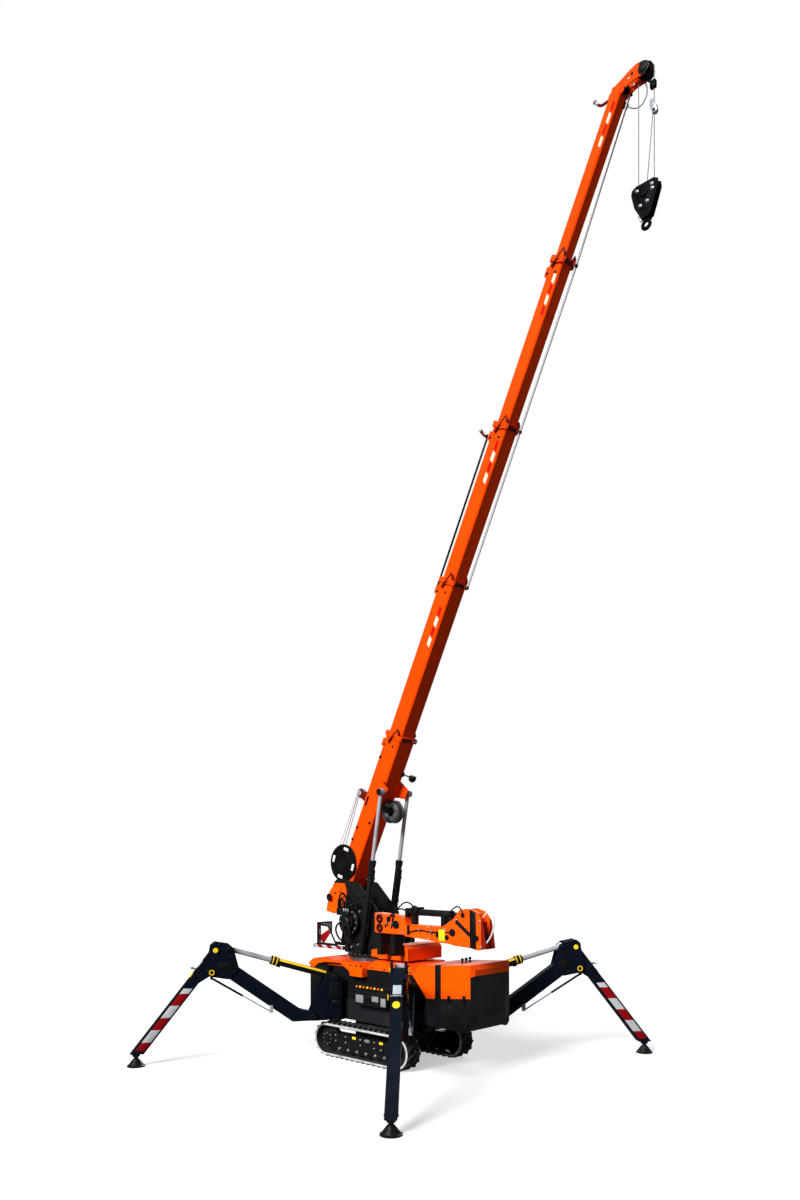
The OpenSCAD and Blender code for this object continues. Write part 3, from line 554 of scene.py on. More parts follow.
heads += [((BODY_TAIL - 0.002, y, z), (-1, 0, 0), 0.010) for y in (-0.36, 0.36) for z in (0.55, 0.75, 0.95)]
heads += bolt_places(grid((0.02, 0.10, 0.80, 0.98), (0.86,)), WAIST_FACE, 0.009)
mounted(bolts(heads), "body_bolts", "chassis", black_trim)

# Covers: orange painted sheet over the rear and the waist, screwed down along
# the lower edges over a black rubber seal, glossy with a light film of dust.
REAR_FACE, ORANGE = 0.42, shade(247, 78, 0)


def side_plates(outline, near, far, rounding=0.002, centre=0.0):
    """The same plate on both sides."""
    return [plate(outline, [centre + y for y in span(s, near, far)], rounding) for s in (-1, 1)]


orange_cover = finish("orange_cover_gloss", ORANGE, 0.5, 2.2, depth=0.05, spread=0.10,
                      grime=shade(236, 76, 2), shine=0.08)
dress(orange_cover, "rear_cover", "centre_cover")
heads = bolt_places(grid((0.06, 0.16, 0.235), (1.145,)), REAR_FACE, 0.010)
heads += bolt_places(grid((0.34, 0.56, 0.78, 1.0), (1.125,)), WAIST_FACE, 0.010)
mounted(bolts(heads), "cover_screws", "chassis", black_trim)
mounted(side_plates(oblong(0.262, 1.05, 1.092, 1.104), WAIST_FACE, WAIST_FACE + 0.004)
        + side_plates(oblong(0.05, 0.262, 1.000, 1.012), REAR_FACE, REAR_FACE + 0.004),
        "cover_seals", "chassis", black_trim)

# Control panel: a dark sheet box on the right side of the waist with pale blank
# plates, a row of ball-ended levers standing from its sloping face and a pair of
# round gauges.
PANEL_FACE, SLOPE, OUT_RIGHT = -0.435, Vector((0, -0.8705, 0.4920)), (0, -1, 0)
LEVERS, LEVER_FIRST, LEVER_PITCH, LEVER_Y, LEVER_Z = 8, 0.21, 0.062, -0.4025, 0.8675
panel_paint = finish("panel_grey_dark", shade(10, 11, 12), 0.5, 8, spread=0.2, grime=shade(18, 18, 18))
panel_plate = finish("panel_plate", shade(122, 125, 128), 0.5, 12, depth=0.1, grime=shade(84, 86, 88))
white_plate = finish("white_plate", shade(206, 206, 203), 0.5, 12, depth=0.1, spread=0.1,
                     grime=shade(170, 168, 164))
dress(panel_paint, "control_panel")


def bar(start, end, radius, rounding=0.002, sides=24):
    """A round bar between two points with its ends eased."""
    start, end = Vector(start), Vector(end)
    run = end - start
    free_hands()
    bpy.ops.mesh.primitive_cylinder_add(
        vertices=sides, radius=radius, depth=run.length, location=(start + end) / 2,
        rotation=run.to_track_quat("Z", "Y").to_euler())
    piece = bpy.context.object
    settle(piece)
    if rounding:
        round_edges(piece, min(rounding, radius * 0.45))
    return piece


def panel_faces(*spans):
    """Thin blank plates on the panel's upright face."""
    return [plate(oblong(*edges), (PANEL_FACE - 0.003, PANEL_FACE + 0.001), 0.001) for edges in spans]


ball = [(0, 0), (0.006, 0), (0.009, 0.004), (0.014, 0.012), (0.015, 0.020), (0.012, 0.028), (0.006, 0.032),
        (0, 0.033)]
gauge = [(0, 0), (0.026, 0), (0.026, 0.012), (0.023, 0.015), (0.020, 0.010), (0, 0.010)]
feet = [Vector((LEVER_FIRST + LEVER_PITCH * k, LEVER_Y, LEVER_Z)) for k in range(LEVERS)]
mounted([bar(foot, foot + SLOPE * 0.045, 0.005) for foot in feet]
        + [cap(0.013, 0.010, foot, SLOPE, 16) for foot in feet],
        "lever_stems", "chassis", black_trim)
orange_knob = finish("lever_orange", shade(236, 96, 20), 0.3, 16, depth=0.05, spread=0.08)
for first, hue, skin in ((0, "orange", orange_knob), (1, "yellow", yellow_paint)):
    mounted([turned(ball, foot + SLOPE * 0.043, SLOPE, 16) for foot in feet[first::2]],
            "lever_knobs_" + hue, "chassis", skin)
mounted(panel_faces((0.17, 0.30, 0.70, 0.795), (0.45, 0.56, 0.735, 0.80), (0.60, 0.685, 0.69, 0.79)),
        "panel_plates_pale", "chassis", panel_plate)
mounted(panel_faces((0.32, 0.43, 0.70, 0.80), (0.45, 0.56, 0.685, 0.725))
        + [turned(gauge, (x, PANEL_FACE - 0.003, 0.75), OUT_RIGHT, 24) for x in (0.345, 0.405)],
        "panel_plates_dark", "chassis", frame_paint)

# Engine hood and skirt: an orange pressed hood strapped down by a black band,
# with lifting knobs on top, over a black folded skirt whose end is a pressed panel
# with slanting facets and which has a bolted box at its lower corners.
HOOD_FACE, STRAP_BACK, STRAP_FRONT = 0.3595, 1.407, 1.497
HOOD_BACK, HOOD_TOP, HOOD_RISE = 1.154, 1.235, 0.0736
HEM_BACK, HEM_Z, HEM_RISE = 1.273, 0.853, 0.1038
skirt_black = finish("skirt_black", shade(16, 18, 21), 0.42, 5, coat=0.05, depth=0.15, spread=0.22,
                     grime=shade(26, 27, 29), shine=0.3)
dress(orange_cover, "hood_cover")
dress(skirt_black, "hood_skirt")


def hood_top(x):
    """Height of the hood's top at a place along it."""
    return HOOD_TOP + (x - HOOD_BACK) * HOOD_RISE


def hood_hem(x):
    """Height of the hood's lower edge."""
    return HEM_Z + (x - HEM_BACK) * HEM_RISE


back_top, front_top = hood_top(STRAP_BACK), hood_top(STRAP_FRONT)
strap = side_plates([(STRAP_BACK, hood_hem(STRAP_BACK)), (STRAP_FRONT, hood_hem(STRAP_FRONT)),
                     (STRAP_FRONT, front_top), (STRAP_BACK, back_top)], HOOD_FACE, HOOD_FACE + 0.004)
strap.append(plate([(STRAP_BACK, back_top - 0.001), (STRAP_FRONT, front_top - 0.001),
                    (STRAP_FRONT, front_top + 0.003), (STRAP_BACK, back_top + 0.003)],
                   (-HOOD_FACE - 0.004, HOOD_FACE + 0.004)))
mounted(strap, "hood_strap", "chassis", black_trim)
knob = [(0, 0), (0.020, 0), (0.020, 0.006), (0.010, 0.012), (0.010, 0.030), (0.019, 0.038), (0.019, 0.052),
        (0.013, 0.058), (0, 0.058)]
mounted([turned(knob, (x, y, hood_top(x)), (0, 0, 1), 20)
         for x, y in ((1.60, -0.10), (1.575, 0.0), (1.55, 0.10))],
        "hood_knobs", "chassis", black_trim)
mounted([block((x - 0.022, x + 0.022), span(s, 0.359, 0.372), (hood_hem(x) - 0.05, hood_hem(x) + 0.035))
         for s in (-1, 1) for x in (1.62, 1.84)], "hood_latches", "chassis", black_trim)
end_panel = block((1.925, 1.950), (-0.300, 0.300), (0.620, 1.125))
pick(end_panel, "faces", lambda face: face.normal.x > 0.9 and face.area > 0.1)
bpy.ops.mesh.inset(thickness=0.075, depth=0.030)
bpy.ops.mesh.inset(thickness=0.085, depth=-0.022)
bpy.ops.object.mode_set(mode="OBJECT")
mounted(end_panel, "skirt_end_panel", "chassis", skirt_black, smooth=15)
boxes = [block((1.70, 1.90), span(s, 0.352, 0.385), (0.565, 0.66), 0.008) for s in (-1, 1)]
boxes += side_plates([(1.36, 0.56), (1.62, 0.556), (1.66, 0.60), (1.66, 0.82), (1.34, 0.80), (1.31, 0.60)],
                     HOOD_FACE, HOOD_FACE + 0.006)
mounted(boxes, "skirt_boxes", "chassis", skirt_black)
heads = bolt_places(((1.36, 0.61), (1.61, 0.60), (1.60, 0.79), (1.37, 0.77)), HOOD_FACE + 0.006, 0.012)
heads += bolt_places([(1.80, 0.612)], 0.385, 0.016)
mounted(bolts(heads), "skirt_bolts", "chassis", black_trim)

# Slewing ring and turret: a machined bearing ring with a bolted flange, two thick
# welded cheeks that carry the boom, orange pivot plates with capped pins and an
# orange cover over the front of the turret.
CHEEK_FACE, RING_BOLTS, RING_TOP, LID_FACE = 0.1795, 0.284, 1.2657, 0.3085
ring_steel = finish("ring_steel", shade(92, 94, 97), 0.4, 8, metal=0.7, spread=0.2, grime=shade(60, 56, 50))
turret_paint = finish("turret_grey", shade(15, 17, 18), 0.5, 5, spread=0.2, chip=shade(44, 43, 41),
                      grime=shade(24, 25, 25))
pivot_orange = finish("pivot_orange", ORANGE, 0.5, 2.2, depth=0.05, spread=0.10, grime=shade(230, 74, 4),
                      shine=0.08)


def side_caps(radius, height, y, spots, steps=28, centre=0.0):
    """Round caps on both sides at the same spots, facing outwards."""
    return [cap(radius, height, (x, centre + s * y, z), (0, s, 0), steps) for s in (-1, 1) for x, z in spots]


dress(ring_steel, "slew_bearing")
dress(turret_paint, "turret_frame")
dress(pivot_orange, "pivot_plates")
dress(orange_cover, "turret_cover")
mounted(bolts([((x, y, RING_TOP), (0, 0, 1), 0.009) for x, y in circle(0, 0, RING_BOLTS, 24) if abs(y) > 0.2]),
        "ring_bolts", "turret", zinc)
mounted(side_caps(0.050, 0.010, 0.2212, [(-0.556, 1.965)], 32)
        + side_caps(0.040, 0.014, CHEEK_FACE, [(0.300, 1.700)], 32),
        "turret_pin_caps", "turret", black_trim)
ribs = side_plates([(0.05, 1.62), (0.30, 1.62), (0.27, 1.74), (-0.02, 2.04), (-0.10, 2.04), (-0.10, 1.98),
                    (0.06, 1.80)], CHEEK_FACE - 0.001, CHEEK_FACE + 0.007)
ribs += [block((0.10, 0.40), span(s, CHEEK_FACE - 0.001, 0.191), (1.275, 1.30)) for s in (-1, 1)]
mounted(ribs, "turret_ribs", "turret", turret_paint)
mounted(side_caps(0.056, 0.012, 0.1975, [(-0.400, 2.090)], 32),
        "boom_pin_caps", "turret", pivot_orange)
heads = bolt_places(((-0.47, 2.165), (-0.33, 2.165), (-0.33, 2.02), (-0.47, 2.02)), 0.1935, 0.012)
heads += bolt_places(((0.36, 1.36), (0.36, 1.46), (0.22, 1.30), (-0.22, 1.31), (0.20, 1.86), (0.05, 2.0),
                      (-0.12, 2.13)), CHEEK_FACE, 0.013)
mounted(bolts(heads), "turret_bolts", "turret", black_trim)
mounted(side_plates([(0.50, 1.30), (0.88, 1.30), (0.90, 1.32), (0.90, 1.40), (0.88, 1.42), (0.50, 1.42),
                     (0.48, 1.40), (0.48, 1.32)], LID_FACE, LID_FACE + 0.004),
        "turret_cover_panels", "turret", orange_cover)
mounted(bolts(bolt_places(grid((0.51, 0.87), (1.325, 1.395)), LID_FACE + 0.004, 0.009)),
        "turret_cover_screws", "turret", black_trim)

# Slewing drive: a black cast gear case with its motor on the right cheek, ringed
# with bolts, and stiff pressure hoses that run from its ports to the cheek, with
# a plated fitting at each end.
DRIVE_X, DRIVE_Z = -0.165, 1.660
drive_black = finish("drive_black", shade(10, 11, 12), 0.45, 9, depth=0.35, spread=0.25,
                     grime=shade(20, 20, 20), shine=0.25)
hose_black = finish("hose_black", shade(9, 9, 10), 0.55, 30, depth=0.3, spread=0.2, grime=shade(17, 17, 17))
dress(drive_black, "slew_drive")


def tube_run(radius, *points):
    """A smooth tube through points, as a hose or a bent pipe, with closed ends."""
    free_hands()
    line = bpy.data.curves.new("run", "CURVE")
    line.dimensions = "3D"
    line.bevel_depth, line.bevel_resolution, line.resolution_u = radius, 2, 6
    line.use_fill_caps = True
    path = line.splines.new("BEZIER")
    path.bezier_points.add(len(points) - 1)
    for knot, point in zip(path.bezier_points, points):
        knot.co = point
        knot.handle_left_type = knot.handle_right_type = "AUTO"
    piece = bpy.data.objects.new("run", line)
    bpy.context.collection.objects.link(piece)
    take(piece)
    bpy.ops.object.convert(target="MESH")
    return bpy.context.object


mounted([turned([(0, 0), (0.172, 0), (0.172, 0.016), (0.164, 0.020), (0.130, 0.020), (0.124, 0.010),
                 (0, 0.010)], (DRIVE_X, -0.2385, DRIVE_Z), OUT_RIGHT, 40),
         turned([(0, 0), (0.074, 0), (0.070, 0.030), (0.052, 0.040), (0, 0.040)],
                (-0.150, -0.2985, 1.665), OUT_RIGHT, 28),
         cap(0.046, 0.02, (-0.140, -0.2395, 1.535), OUT_RIGHT, 24),
         block((-0.215, -0.085), (-0.322, -0.262), (1.745, 1.800), 0.008),
         block((-0.420, -0.330), (-0.225, -0.178), (1.74, 1.83), 0.008)],
        "drive_case", "turret", drive_black)
mounted(bolts(bolt_places(circle(DRIVE_X, DRIVE_Z, 0.150, 12), 0.2585, 0.010, [-1])),
        "drive_bolts", "turret", zinc)
mounted([tube_run(0.013, (-0.19, -0.30, 1.795), (-0.20, -0.30, 1.90), (-0.27, -0.265, 1.96),
                  (-0.34, -0.225, 1.90), (-0.375, -0.215, 1.825)),
         tube_run(0.013, (-0.15, -0.30, 1.795), (-0.14, -0.305, 1.93), (-0.25, -0.27, 2.03),
                  (-0.37, -0.225, 1.93), (-0.395, -0.21, 1.825)),
         tube_run(0.012, (-0.11, -0.30, 1.795), (-0.08, -0.30, 1.87), (-0.03, -0.25, 1.90),
                  (0.00, -0.20, 1.85), (0.0, -0.175, 1.80)),
         tube_run(0.013, (-0.22, -0.318, 1.66), (-0.30, -0.32, 1.62), (-0.36, -0.27, 1.50),
                  (-0.30, -0.22, 1.40), (-0.24, -0.175, 1.37)),
         tube_run(0.013, (-0.15, -0.335, 1.62), (-0.17, -0.34, 1.50), (-0.22, -0.29, 1.42),
                  (-0.18, -0.22, 1.36), (-0.15, -0.175, 1.34)),
         tube_run(0.012, (-0.09, -0.335, 1.65), (-0.05, -0.33, 1.56), (-0.06, -0.29, 1.44),
                  (-0.04, -0.22, 1.40), (-0.03, -0.175, 1.38))],
        "drive_hoses", "turret", hose_black, smooth=60)
mounted([bar((x, -0.30, 1.79), (x, -0.30, 1.835), 0.019, 0.003, 6) for x in (-0.19, -0.15, -0.11)]
        + [bar((x, -0.178, z), (x, -0.215, z), 0.018, 0.003, 6)
           for x, z in ((-0.24, 1.37), (-0.15, 1.34), (-0.03, 1.38), (0.0, 1.80))],
        "hose_fittings", "turret", zinc)

# Tail marker: a steel frame behind the turret with a warning board, slanting side
# boards and two side bars, in red and white sheet riveted to the frame.
BOARD_LOW, BOARD_HIGH, BOARD_HALF = 1.305, 1.600, 0.110
RAIL_BACK, RAIL_FRONT, RAIL_LOW, RAIL_HIGH = -0.865, -0.320, 1.294, 1.331
RED, WHITE = shade(124, 4, 8), shade(166, 170, 174)


def striped(name, count, lean, start=0.0):
    """Red and white stripes that slant along a plate's own map, begun part way through a pair."""
    skin = finish(name, WHITE, 0.4, 9, depth=0.08, spread=0.08)
    tree = skin.node_tree
    own_map, parts = tree.nodes.new("ShaderNodeUVMap"), tree.nodes.new("ShaderNodeSeparateXYZ")
    own_map.uv_map = "along"
    tree.links.new(own_map.outputs["UV"], parts.inputs["Vector"])
    along = node_sum(tree, "MULTIPLY", parts.outputs["X"], count / 2)
    slant = node_sum(tree, "MULTIPLY_ADD", parts.outputs["Y"], lean, along)
    turn = node_sum(tree, "FRACT", node_sum(tree, "ADD", slant, start))
    blend_in(skin, node_sum(tree, "GREATER_THAN", turn, 0.5), RED)
    return skin


def map_along(piece, start, along, across, length, width):
    """Maps a plate: U runs along it from nought to one, V across it."""
    sheet = piece.data.uv_layers.new(name="along")
    start, along, across = Vector(start), Vector(along), Vector(across)
    for corner in piece.data.loops:
        offset = piece.data.vertices[corner.vertex_index].co - start
        sheet.data[corner.index].uv = (offset.dot(along) / length, offset.dot(across) / width)
    for other in [m.name for m in piece.data.uv_layers if m.name != "along"]:
        piece.data.uv_layers.remove(piece.data.uv_layers[other])
    return piece


marker_black = finish("marker_black", shade(15, 16, 17), 0.5, 8, spread=0.2, grime=shade(27, 26, 25))
board_stripes, bar_stripes = striped("board_stripes", 4, 0.6), striped("bar_stripes", 6, 0.25)
red_plate = finish("red_plate", RED, 0.45, 10, depth=0.08, spread=0.1)
dress(marker_black, "tail_marker")
mounted([map_along(block(x, (-BOARD_HALF, BOARD_HALF), (BOARD_LOW, BOARD_HIGH), 0.001),
                   (0, -BOARD_HALF, BOARD_LOW), (0, 0, 1), (0, 1, 0), BOARD_HIGH - BOARD_LOW, 2 * BOARD_HALF)
         for x in ((-0.8845, -0.8815), (-0.9035, -0.8995))],
        "tail_board_stripes", "turret", board_stripes)
mounted([map_along(block((RAIL_BACK, RAIL_FRONT), span(s, 0.2065, 0.2095), (RAIL_LOW, RAIL_HIGH), 0.001),
                   (RAIL_BACK, 0, RAIL_LOW), (1, 0, 0), (0, 0, 1), RAIL_FRONT - RAIL_BACK, RAIL_HIGH - RAIL_LOW)
         for s in (-1, 1)], "tail_bar_stripes", "turret", bar_stripes)
mounted(side_plates([(-0.754, 1.336), (-0.754, 1.610), (-0.588, 1.600), (-0.405, 1.336)], 0.2065, 0.2125),
        "tail_side_boards", "turret", marker_black)
mounted(side_plates([(-0.728, 1.362), (-0.728, 1.582), (-0.602, 1.574), (-0.456, 1.362)],
                    0.2120, 0.2140, 0.0006), "tail_side_white", "turret", white_plate)
mounted(side_plates([(-0.728, 1.395), (-0.728, 1.462), (-0.580, 1.542), (-0.545, 1.491), (-0.660, 1.362),
                     (-0.700, 1.362)], 0.2135, 0.2150, 0.0004),
        "tail_side_red", "turret", red_plate)
mounted([block((-0.915, -0.878), (-0.128, 0.128), z, 0.005) for z in ((1.596, 1.616), (1.285, 1.303))]
        + [block((-0.912, -0.880), (s * 0.119 - 0.008, s * 0.119 + 0.008), (1.29, 1.61)) for s in (-1, 1)],
        "tail_board_edge", "turret", marker_black)

# Stowed jib: a short orange box arm in two black cradles, its forked head with a
# rope sheave, a black cylinder on top, bosses round the pin holes and clipped
# hoses along the arm.
JIB_Y, ARM_HALF, HEAD_HALF = -0.407, 0.070, 0.084
zone, zone_in, zone_out, zone_place = effect("marked_zone", ["Centre", "Half"], ["Mask"], "NodeSocketVector")
off, size, past = [zone.nodes.new("ShaderNodeVectorMath") for _ in range(3)]
off.operation, size.operation, past.operation = "SUBTRACT", "ABSOLUTE", "SUBTRACT"
zone_parts = zone.nodes.new("ShaderNodeSeparateXYZ")
for source, hole in ((zone_place, off.inputs[0]), (zone_in["Centre"], off.inputs[1]),
                     (off.outputs["Vector"], size.inputs[0]), (size.outputs["Vector"], past.inputs[0]),
                     (zone_in["Half"], past.inputs[1]), (past.outputs["Vector"], zone_parts.inputs["Vector"])):
    zone.links.new(source, hole)
widest = node_sum(zone, "MAXIMUM", zone_parts.outputs["X"], zone_parts.outputs["Y"])
widest = node_sum(zone, "MAXIMUM", widest, zone_parts.outputs["Z"])
zone.links.new(node_sum(zone, "LESS_THAN", widest, 0), zone_out["Mask"])


def paint_zone(skin, colour, centre, half):
    """Paints a box-shaped part of a finish in another colour."""
    area = skin.node_tree.nodes.new("ShaderNodeGroup")
    area.node_tree = zone
    area.inputs["Centre"].default_value = centre
    area.inputs["Half"].default_value = half
    blend_in(skin, area.outputs["Mask"], colour)


def jib_hose(radius, *points):
    """A hose on the jib's right side; each point is X, the distance out from the jib and Z."""
    return tube_run(radius, *[(x, JIB_Y - out, z) for x, out, z in points])


jib_orange = finish("jib_orange", ORANGE, 0.46, 2.4, depth=0.06, spread=0.10, chip=shade(150, 46, 6),
                    grime=shade(228, 72, 4))
jib_head_orange_and_shade = finish("jib_head_orange_and_shade", ORANGE, 0.46, 2.4, depth=0.06, spread=0.10, grime=shade(228, 72, 4))
# Painted shade: the head's end is painted dark red where it lies in shade.
paint_zone(jib_head_orange_and_shade, shade(120, 22, 8), (2.24, JIB_Y, 1.70), (0.06, 0.3, 0.4))
paint_zone(jib_head_orange_and_shade, shade(24, 25, 27), (2.12, JIB_Y, 1.618), (0.12, 0.030, 0.12))
dress(marker_black, "jib_cradle")
dress(jib_orange, "jib_arm")
dress(jib_head_orange_and_shade, "jib_head")
dress(drive_black, "jib_cylinder")
trim = []
for outline in ([(2.030, 1.508), (2.118, 1.492), (2.112, 1.898), (2.022, 1.926)],
                [(1.812, 1.772), (1.846, 1.806), (2.036, 1.668), (2.036, 1.612)]):
    trim += side_plates(outline, HEAD_HALF - 0.0002, HEAD_HALF + 0.0028, centre=JIB_Y)
trim += side_plates([(1.075, 1.59), (1.120, 1.588), (1.120, 1.708), (1.075, 1.708)],
                    ARM_HALF - 0.0002, ARM_HALF + 0.0038, centre=JIB_Y)
boss = [(0.026, 0), (0.052, 0), (0.052, 0.012), (0.047, 0.016), (0.026, 0.016)]
trim += [turned(boss, (0.630, JIB_Y + s * ARM_HALF, z), (0, s, 0), 28)
         for s in (-1, 1) for z in (1.7585, 1.6485)]
for x, z, radius in ((0.900, 1.70, 0.05), (1.56, 1.62, 0.035), (0.78, 1.76, 0.03)):
    trim += side_caps(radius, 0.016, ARM_HALF, [(x, z)], centre=JIB_Y)
for x, z, radius in ((2.12, 1.618, 0.034), (1.78, 1.66, 0.042), (1.93, 1.86, 0.026), (1.70, 1.60, 0.028)):
    trim += side_caps(radius, 0.014, HEAD_HALF, [(x, z)], centre=JIB_Y)
trim += [cap(0.052, 0.03, (1.179, JIB_Y - 0.040, 1.884), OUT_RIGHT),
         block((1.02, 1.07), (JIB_Y - 0.05, JIB_Y + 0.05), (1.80, 1.90), 0.006),
         block((1.66, 1.73), (JIB_Y - 0.05, JIB_Y + 0.05), (1.705, 1.825), 0.006)]
mounted(trim, "jib_black_trim", "turret", black_trim)
mounted(block((1.578, 1.674), (JIB_Y - 0.098, JIB_Y - 0.068), (1.548, 1.686), 0.018),
        "jib_yellow_mark", "turret", yellow_paint)
mounted([jib_hose(0.010, (1.06, 0.055, 1.86), (1.00, 0.085, 1.89), (0.90, 0.09, 1.85), (0.82, 0.085, 1.80),
                  (0.76, 0.080, 1.72), (0.72, 0.075, 1.66)),
         jib_hose(0.010, (1.18, 0.06, 1.92), (1.10, 0.09, 1.97), (0.98, 0.09, 1.92), (0.88, 0.085, 1.82),
                  (0.84, 0.078, 1.72), (0.83, 0.074, 1.65)),
         jib_hose(0.009, (1.70, 0.04, 1.875), (1.78, 0.06, 1.93), (1.86, 0.08, 1.95), (1.92, 0.09, 1.90),
                  (1.93, 0.088, 1.84)),
         jib_hose(0.008, (1.10, 0.078, 1.62), (1.28, 0.082, 1.655), (1.46, 0.082, 1.645), (1.64, 0.082, 1.655),
                  (1.74, 0.088, 1.655))], "jib_hoses", "turret", hose_black, smooth=60)
mounted(jib_hose(0.009, (2.190, 0.055, 1.850), (2.262, 0.060, 1.905), (2.335, 0.062, 1.870),
                 (2.340, 0.062, 1.770), (2.300, 0.060, 1.650), (2.235, 0.055, 1.570)),
        "jib_head_hose", "turret", white_plate, smooth=60)
mounted([block((x - 0.012, x + 0.012), (JIB_Y - 0.094, JIB_Y - 0.069), (z - 0.018, z + 0.018))
         for x, z in ((1.28, 1.655), (1.46, 1.645), (0.76, 1.71), (0.845, 1.71))],
        "jib_hose_clips", "turret", zinc)
heads = bolt_places(((0.58, 1.80), (1.0, 1.78), (1.0, 1.61), (1.40, 1.69), (1.40, 1.56), (1.72, 1.69),
                     (1.72, 1.55)), ARM_HALF, 0.011, centre=JIB_Y)
heads += bolt_places(((1.83, 1.80), (2.18, 1.52), (2.16, 1.80), (1.66, 1.69)), HEAD_HALF, 0.011, centre=JIB_Y)
mounted(bolts(heads), "jib_bolts", "turret", zinc)

# Boom base: the widest welded box of the telescope, orange, with grease plugs and
# bolted pads on its sides, a work lamp on a stalk below and a bevelled steel
# collar at its mouth.
BOOM_ROOT, BOOM_UP = (-0.400, 0, 2.090), math.radians(64)
on_boom = Matrix.Translation(BOOM_ROOT) @ Matrix.Rotation(-BOOM_UP, 4, "Y")
ENDS = [2.147, 4.086, 5.847, 7.543, 9.050]
DEPTHS = [0.260, 0.228, 0.196, 0.164, 0.132]
WIDTHS = [0.270, 0.238, 0.206, 0.174, 0.142]
COLLAR, LAMP_A, LAMP_Y, LAMP_N = 0.018, 1.67, 0.12, -0.13
DASHES, DASH_LEAN, DASH_FILL = 4, 0.55, 0.86
marking, mark_in, mark_out, mark_place = effect(
    "extension_marks", ["First", "Pitch", "Centre", "Half", "Reach", "Begin"], ["Red", "White"])
mark_turn = marking.nodes.new("ShaderNodeMapping")
mark_turn.vector_type = "TEXTURE"
mark_turn.inputs["Location"].default_value = BOOM_ROOT
mark_turn.inputs["Rotation"].default_value = (0, -BOOM_UP, 0)
marking.links.new(mark_place, mark_turn.inputs["Vector"])
mark_parts = marking.nodes.new("ShaderNodeSeparateXYZ")
marking.links.new(mark_turn.outputs["Vector"], mark_parts.inputs["Vector"])


def mark_sum(work, *values):
    """One sum inside the marking group."""
    return node_sum(marking, work, *values)


lean_along = mark_sum("MULTIPLY_ADD", mark_parts.outputs["Z"], -DASH_LEAN, mark_parts.outputs["X"])
down = mark_sum("DIVIDE", mark_sum("SUBTRACT", mark_in["First"], lean_along), mark_in["Pitch"])
in_row = mark_sum("MULTIPLY", mark_sum("GREATER_THAN", down, 0), mark_sum("LESS_THAN", down, DASHES))
off_centre = mark_sum("ABSOLUTE", mark_sum("SUBTRACT", mark_parts.outputs["Z"], mark_in["Centre"]))
on_side = mark_sum("GREATER_THAN", mark_sum("ABSOLUTE", mark_parts.outputs["Y"]), mark_in["Reach"])
in_band = mark_sum("MULTIPLY", mark_sum("LESS_THAN", off_centre, mark_in["Half"]), on_side)
in_dash = mark_sum("LESS_THAN", mark_sum("FRACT", down), DASH_FILL)
shown = mark_sum("MULTIPLY", mark_sum("MULTIPLY", in_row, in_band), in_dash)
odd = mark_sum("MODULO", mark_sum("ADD", mark_sum("FLOOR", down), mark_in["Begin"]), 2)
marking.links.new(mark_sum("MULTIPLY", shown, mark_sum("SUBTRACT", 1, odd)), mark_out["Red"])
marking.links.new(mark_sum("MULTIPLY", shown, odd), mark_out["White"])


def boom_finish(name, **dashes):
    """Boom paint, with a row of red and white dashes down from a place along the boom if asked."""
    skin = finish(name, shade(232, 66, 0), 0.6, 1.6, depth=0.05, spread=0.09,
                  grime=shade(222, 62, 0), shine=0.04)
    if dashes:
        row = skin.node_tree.nodes.new("ShaderNodeGroup")
        row.node_tree = marking
        for socket, value in dashes.items():
            row.inputs[socket].default_value = value
        blend_in(skin, row.outputs["Red"], shade(172, 14, 6))
        blend_in(skin, row.outputs["White"], shade(214, 200, 178))
    return skin


boom_paint = boom_finish("boom_orange_1")
dress(boom_paint, "boom_base")
# Dark red: on the collar rims it is painted shade for the shaded edges of each collar; the rope guide, the pipe
# hook and the tip bracket take the same colour.
dark_red_and_shade = finish("collar_shade_and_dark_red", shade(92, 17, 6), 0.45, 8, spread=0.2, grime=shade(66, 14, 8))


def collar_trim(k, body):
    """The mouth of a section: a pointed cheek each side with a rim of dark red painted shade, and pad bolts."""
    end, half, reach = ENDS[k], DEPTHS[k] / 2 + COLLAR, WIDTHS[k] / 2 + COLLAR
    cheeks = side_plates([(end - 0.100, 0.030), (end + 0.060, -0.052), (end + 0.010, -0.088),
                          (end - 0.060, -0.088), (end - 0.075, 0.030)], reach - 0.004, reach + 0.002)
    lug_start = 0.080 if k < 2 else 0.062
    cheeks += [block((end - 0.208, end - 0.110), span(s, lug_start, reach - 0.019),
                     (half - 0.030, half + 0.010), 0.005) for s in (-1, 1)]
    # Painted shade: dark red plates along the cheek's edges, under the mouth and on the fitting below it stand
    # for the collar's shade.
    rims = side_plates([(end - 0.124, 0.028), (end - 0.106, 0.046), (end + 0.086, -0.050),
                        (end + 0.022, -0.100), (end + 0.002, -0.086), (end + 0.052, -0.054)],
                       reach - 0.004, reach + 0.007)
    rims += [block((end - 0.052, end - 0.008), (0.014 - reach, reach - 0.014), (-half - 0.012, -half + 0.002)),
             block((end - 0.045, end - 0.015), (0.034, 0.080), (-half - 0.062, -half - 0.008), 0.003)]
    heads = bolt_places(((end - 0.178, half * 0.72), (end - 0.155, -half * 0.3)), reach - COLLAR, 0.012)
    mounted(cheeks, f"collar_{k + 1}_cheeks", body, boom_paint, on_boom)
    mounted(rims, f"collar_{k + 1}_rim", body, dark_red_and_shade, on_boom)
    mounted(bolts(heads), f"collar_{k + 1}_bolts", body, black_trim, on_boom)


